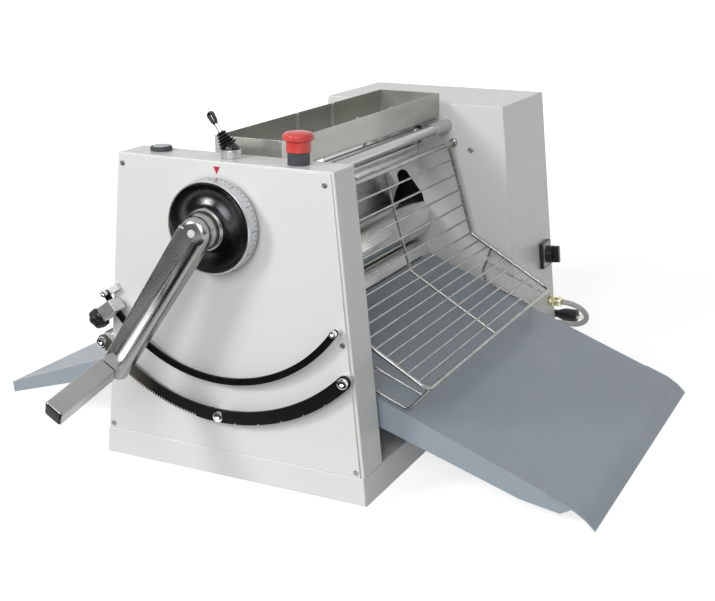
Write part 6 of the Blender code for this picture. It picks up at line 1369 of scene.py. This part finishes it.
wire_steel = skin("guard_stainless_wire", (0.36, 0.36, 0.345), 0.20, 1.0,
                  drift=(50, (0.30, 0.30, 0.285), (0.42, 0.42, 0.405)), sheen=(150, 0.16, 0.30))
for name, node, side, chute_top in (("guard_right_wirework", "guard_right", 1, RIGHT_CHUTE_TOP),
                                    ("guard_left_wirework", "guard_left", -1, LEFT_CHUTE_TOP)):
    way = [(side * GUARD_X, GUARD_Z), (side * GUARD_BEND[0], GUARD_BEND[1]),
           (side * GUARD_REACH[0], GUARD_REACH[1])]
    frame_way = [(x, GUARD_NEAR, z) for x, z in way] + [(x, GUARD_FAR, z) for x, z in reversed(way)]
    wires = [wire(rounded(frame_way, CORNER_RADIUS), FRAME_RADIUS, 4)]
    places = []
    for index in range(STEEP_WIRES):
        share = (index + 1) / STEEP_WIRES
        places.append(part_way(way[0], way[1], share))
    places[-1] = ((places[-1][0] * 0.94 + way[1][0] * 0.06 - side * 0.0006), places[-1][1] + 0.0022)
    first_place = places[0]
    for index in range(SLOPE_WIRES):
        share = (index + 1) / (SLOPE_WIRES + 1)
        places.append(part_way(way[1], way[2], share))
    for x, z in places:
        wires.append(wire([Vector((x, GUARD_NEAR, z)), Vector((x, GUARD_FAR, z))], WIRE_RADIUS))
    middle = [(first_place[0], GUARD_MIDDLE, first_place[1]), (way[1][0], GUARD_MIDDLE, way[1][1]),
              (way[2][0], GUARD_MIDDLE, way[2][1])]
    wires.append(wire(rounded(middle, CORNER_RADIUS), WIRE_RADIUS * 1.2))
    top_share, in_share, low_share, out_share = CHEEK_SHARES
    span = GUARD_REACH[0] - GUARD_BEND[0]
    for y in (GUARD_NEAR, GUARD_FAR):
        joint = part_way(way[1], way[2], top_share)
        inner = GUARD_BEND[0] + span * in_share
        low = GUARD_BEND[0] + span * low_share
        out = GUARD_BEND[0] + span * out_share
        cheek = [Vector((joint[0], y, joint[1])),
                 Vector((side * inner, y, along_chute(chute_top, inner) + CHEEK_REST * 2 + PEG_RISE)),
                 Vector((side * low, y, along_chute(chute_top, low) + CHEEK_REST)),
                 Vector((side * out, y, along_chute(chute_top, out) + CHEEK_REST)),
                 Vector((way[2][0], y, way[2][1]))]
        wires.append(wire(rounded(cheek, CORNER_RADIUS * 0.6), WIRE_RADIUS * 1.25))
        rung = [cheek[1].lerp(cheek[0], RUNG_SHARES[0]), cheek[3].lerp(cheek[4], RUNG_SHARES[1])]
        wires.append(wire(rung, WIRE_RADIUS))
    pivot_length = REAR_WALL - FRONT_WALL
    collar_in = 0.0003
    pivot_profile = [(0, -0.002), (PIVOT_ROD, -0.002), (PIVOT_ROD, collar_in),
                     (PIVOT_COLLAR - 0.0006, collar_in),
                     (PIVOT_COLLAR, collar_in + 0.0006), (PIVOT_COLLAR, collar_in + 0.0054),
                     (PIVOT_COLLAR - 0.0006, collar_in + 0.006), (PIVOT_ROD, collar_in + 0.006)]
    pivot_profile += [(radius, pivot_length - height) for radius, height in reversed(pivot_profile)]
    wires.append(lathe("pivot", pivot_profile, (side * GUARD_X, FRONT_WALL, GUARD_Z), (0, 1, 0), 40))
    guard = smooth(joined(name, wires), 50)
    fit(guard, wire_steel, "right_guard" if side > 0 else "left_guard", "stainless", node)

# The two chutes: painted sheet, folded down along both sides, hooked over pegs in the roller walls.
# The right one is the longer and ends in an apron folded down to the bench.
chute_grey = skin("blue_grey_chute_paint", (0.300, 0.350, 0.395), 0.40,
                  drift=((6, (1, 1, 1), 4), (0.288, 0.336, 0.380), (0.312, 0.362, 0.408)),
                  sheen=(30, 0.34, 0.46), grain=(420, 0.00008, 0.4), Coat_Weight=0.1, Coat_Roughness=0.3)
for name, node in (("chute_right_sheet", "chute_right"), ("chute_left_sheet", "chute_left")):
    fit(ease(remade(name, node), 0.0008, 3, 30), chute_grey, "frame", "chute_paint", node)

# Everything inside: machined shaft, cams and gears, blackened hangers, scrapers, chains, and the gear motor.
# These keep their solids' shapes, each with the finish of its own making.
machined = skin("machined_steel", (0.48, 0.48, 0.49), 0.32, 1.0,
                drift=(120, (0.42, 0.42, 0.43), (0.55, 0.55, 0.56)), sheen=(400, 0.26, 0.42))
motor_skin = skin("motor_aluminium", (0.42, 0.43, 0.44), 0.48, 0.8,
                  drift=(90, (0.37, 0.38, 0.39), (0.48, 0.49, 0.50)), grain=(700, 0.00015))
chain_steel = skin("oiled_chain_steel", (0.10, 0.10, 0.10), 0.36, 1.0,
                   drift=(500, (0.06, 0.06, 0.06), (0.16, 0.155, 0.15)), sheen=(500, 0.28, 0.50))
by_finish = {machined: ("base_plate", "crank_shaft", "lift_cam_front", "lift_cam_rear", "lower_gear",
                        "counter_gear", "upper_sprocket", "motor_sprocket", "lower_bearing_front",
                        "lower_bearing_rear"),
             black_oxide: ("roller_hanger_front", "roller_hanger_rear"),
             steel: ("upper_scraper", "lower_scraper_right", "lower_scraper_left"),
             chain_steel: ("drive_chain", "upper_chain"),
             motor_skin: ("gear_motor",)}
for metal, names in by_finish.items():
    for name in names:
        nodes[name].data.materials.clear()
        nodes[name].data.materials.append(metal)
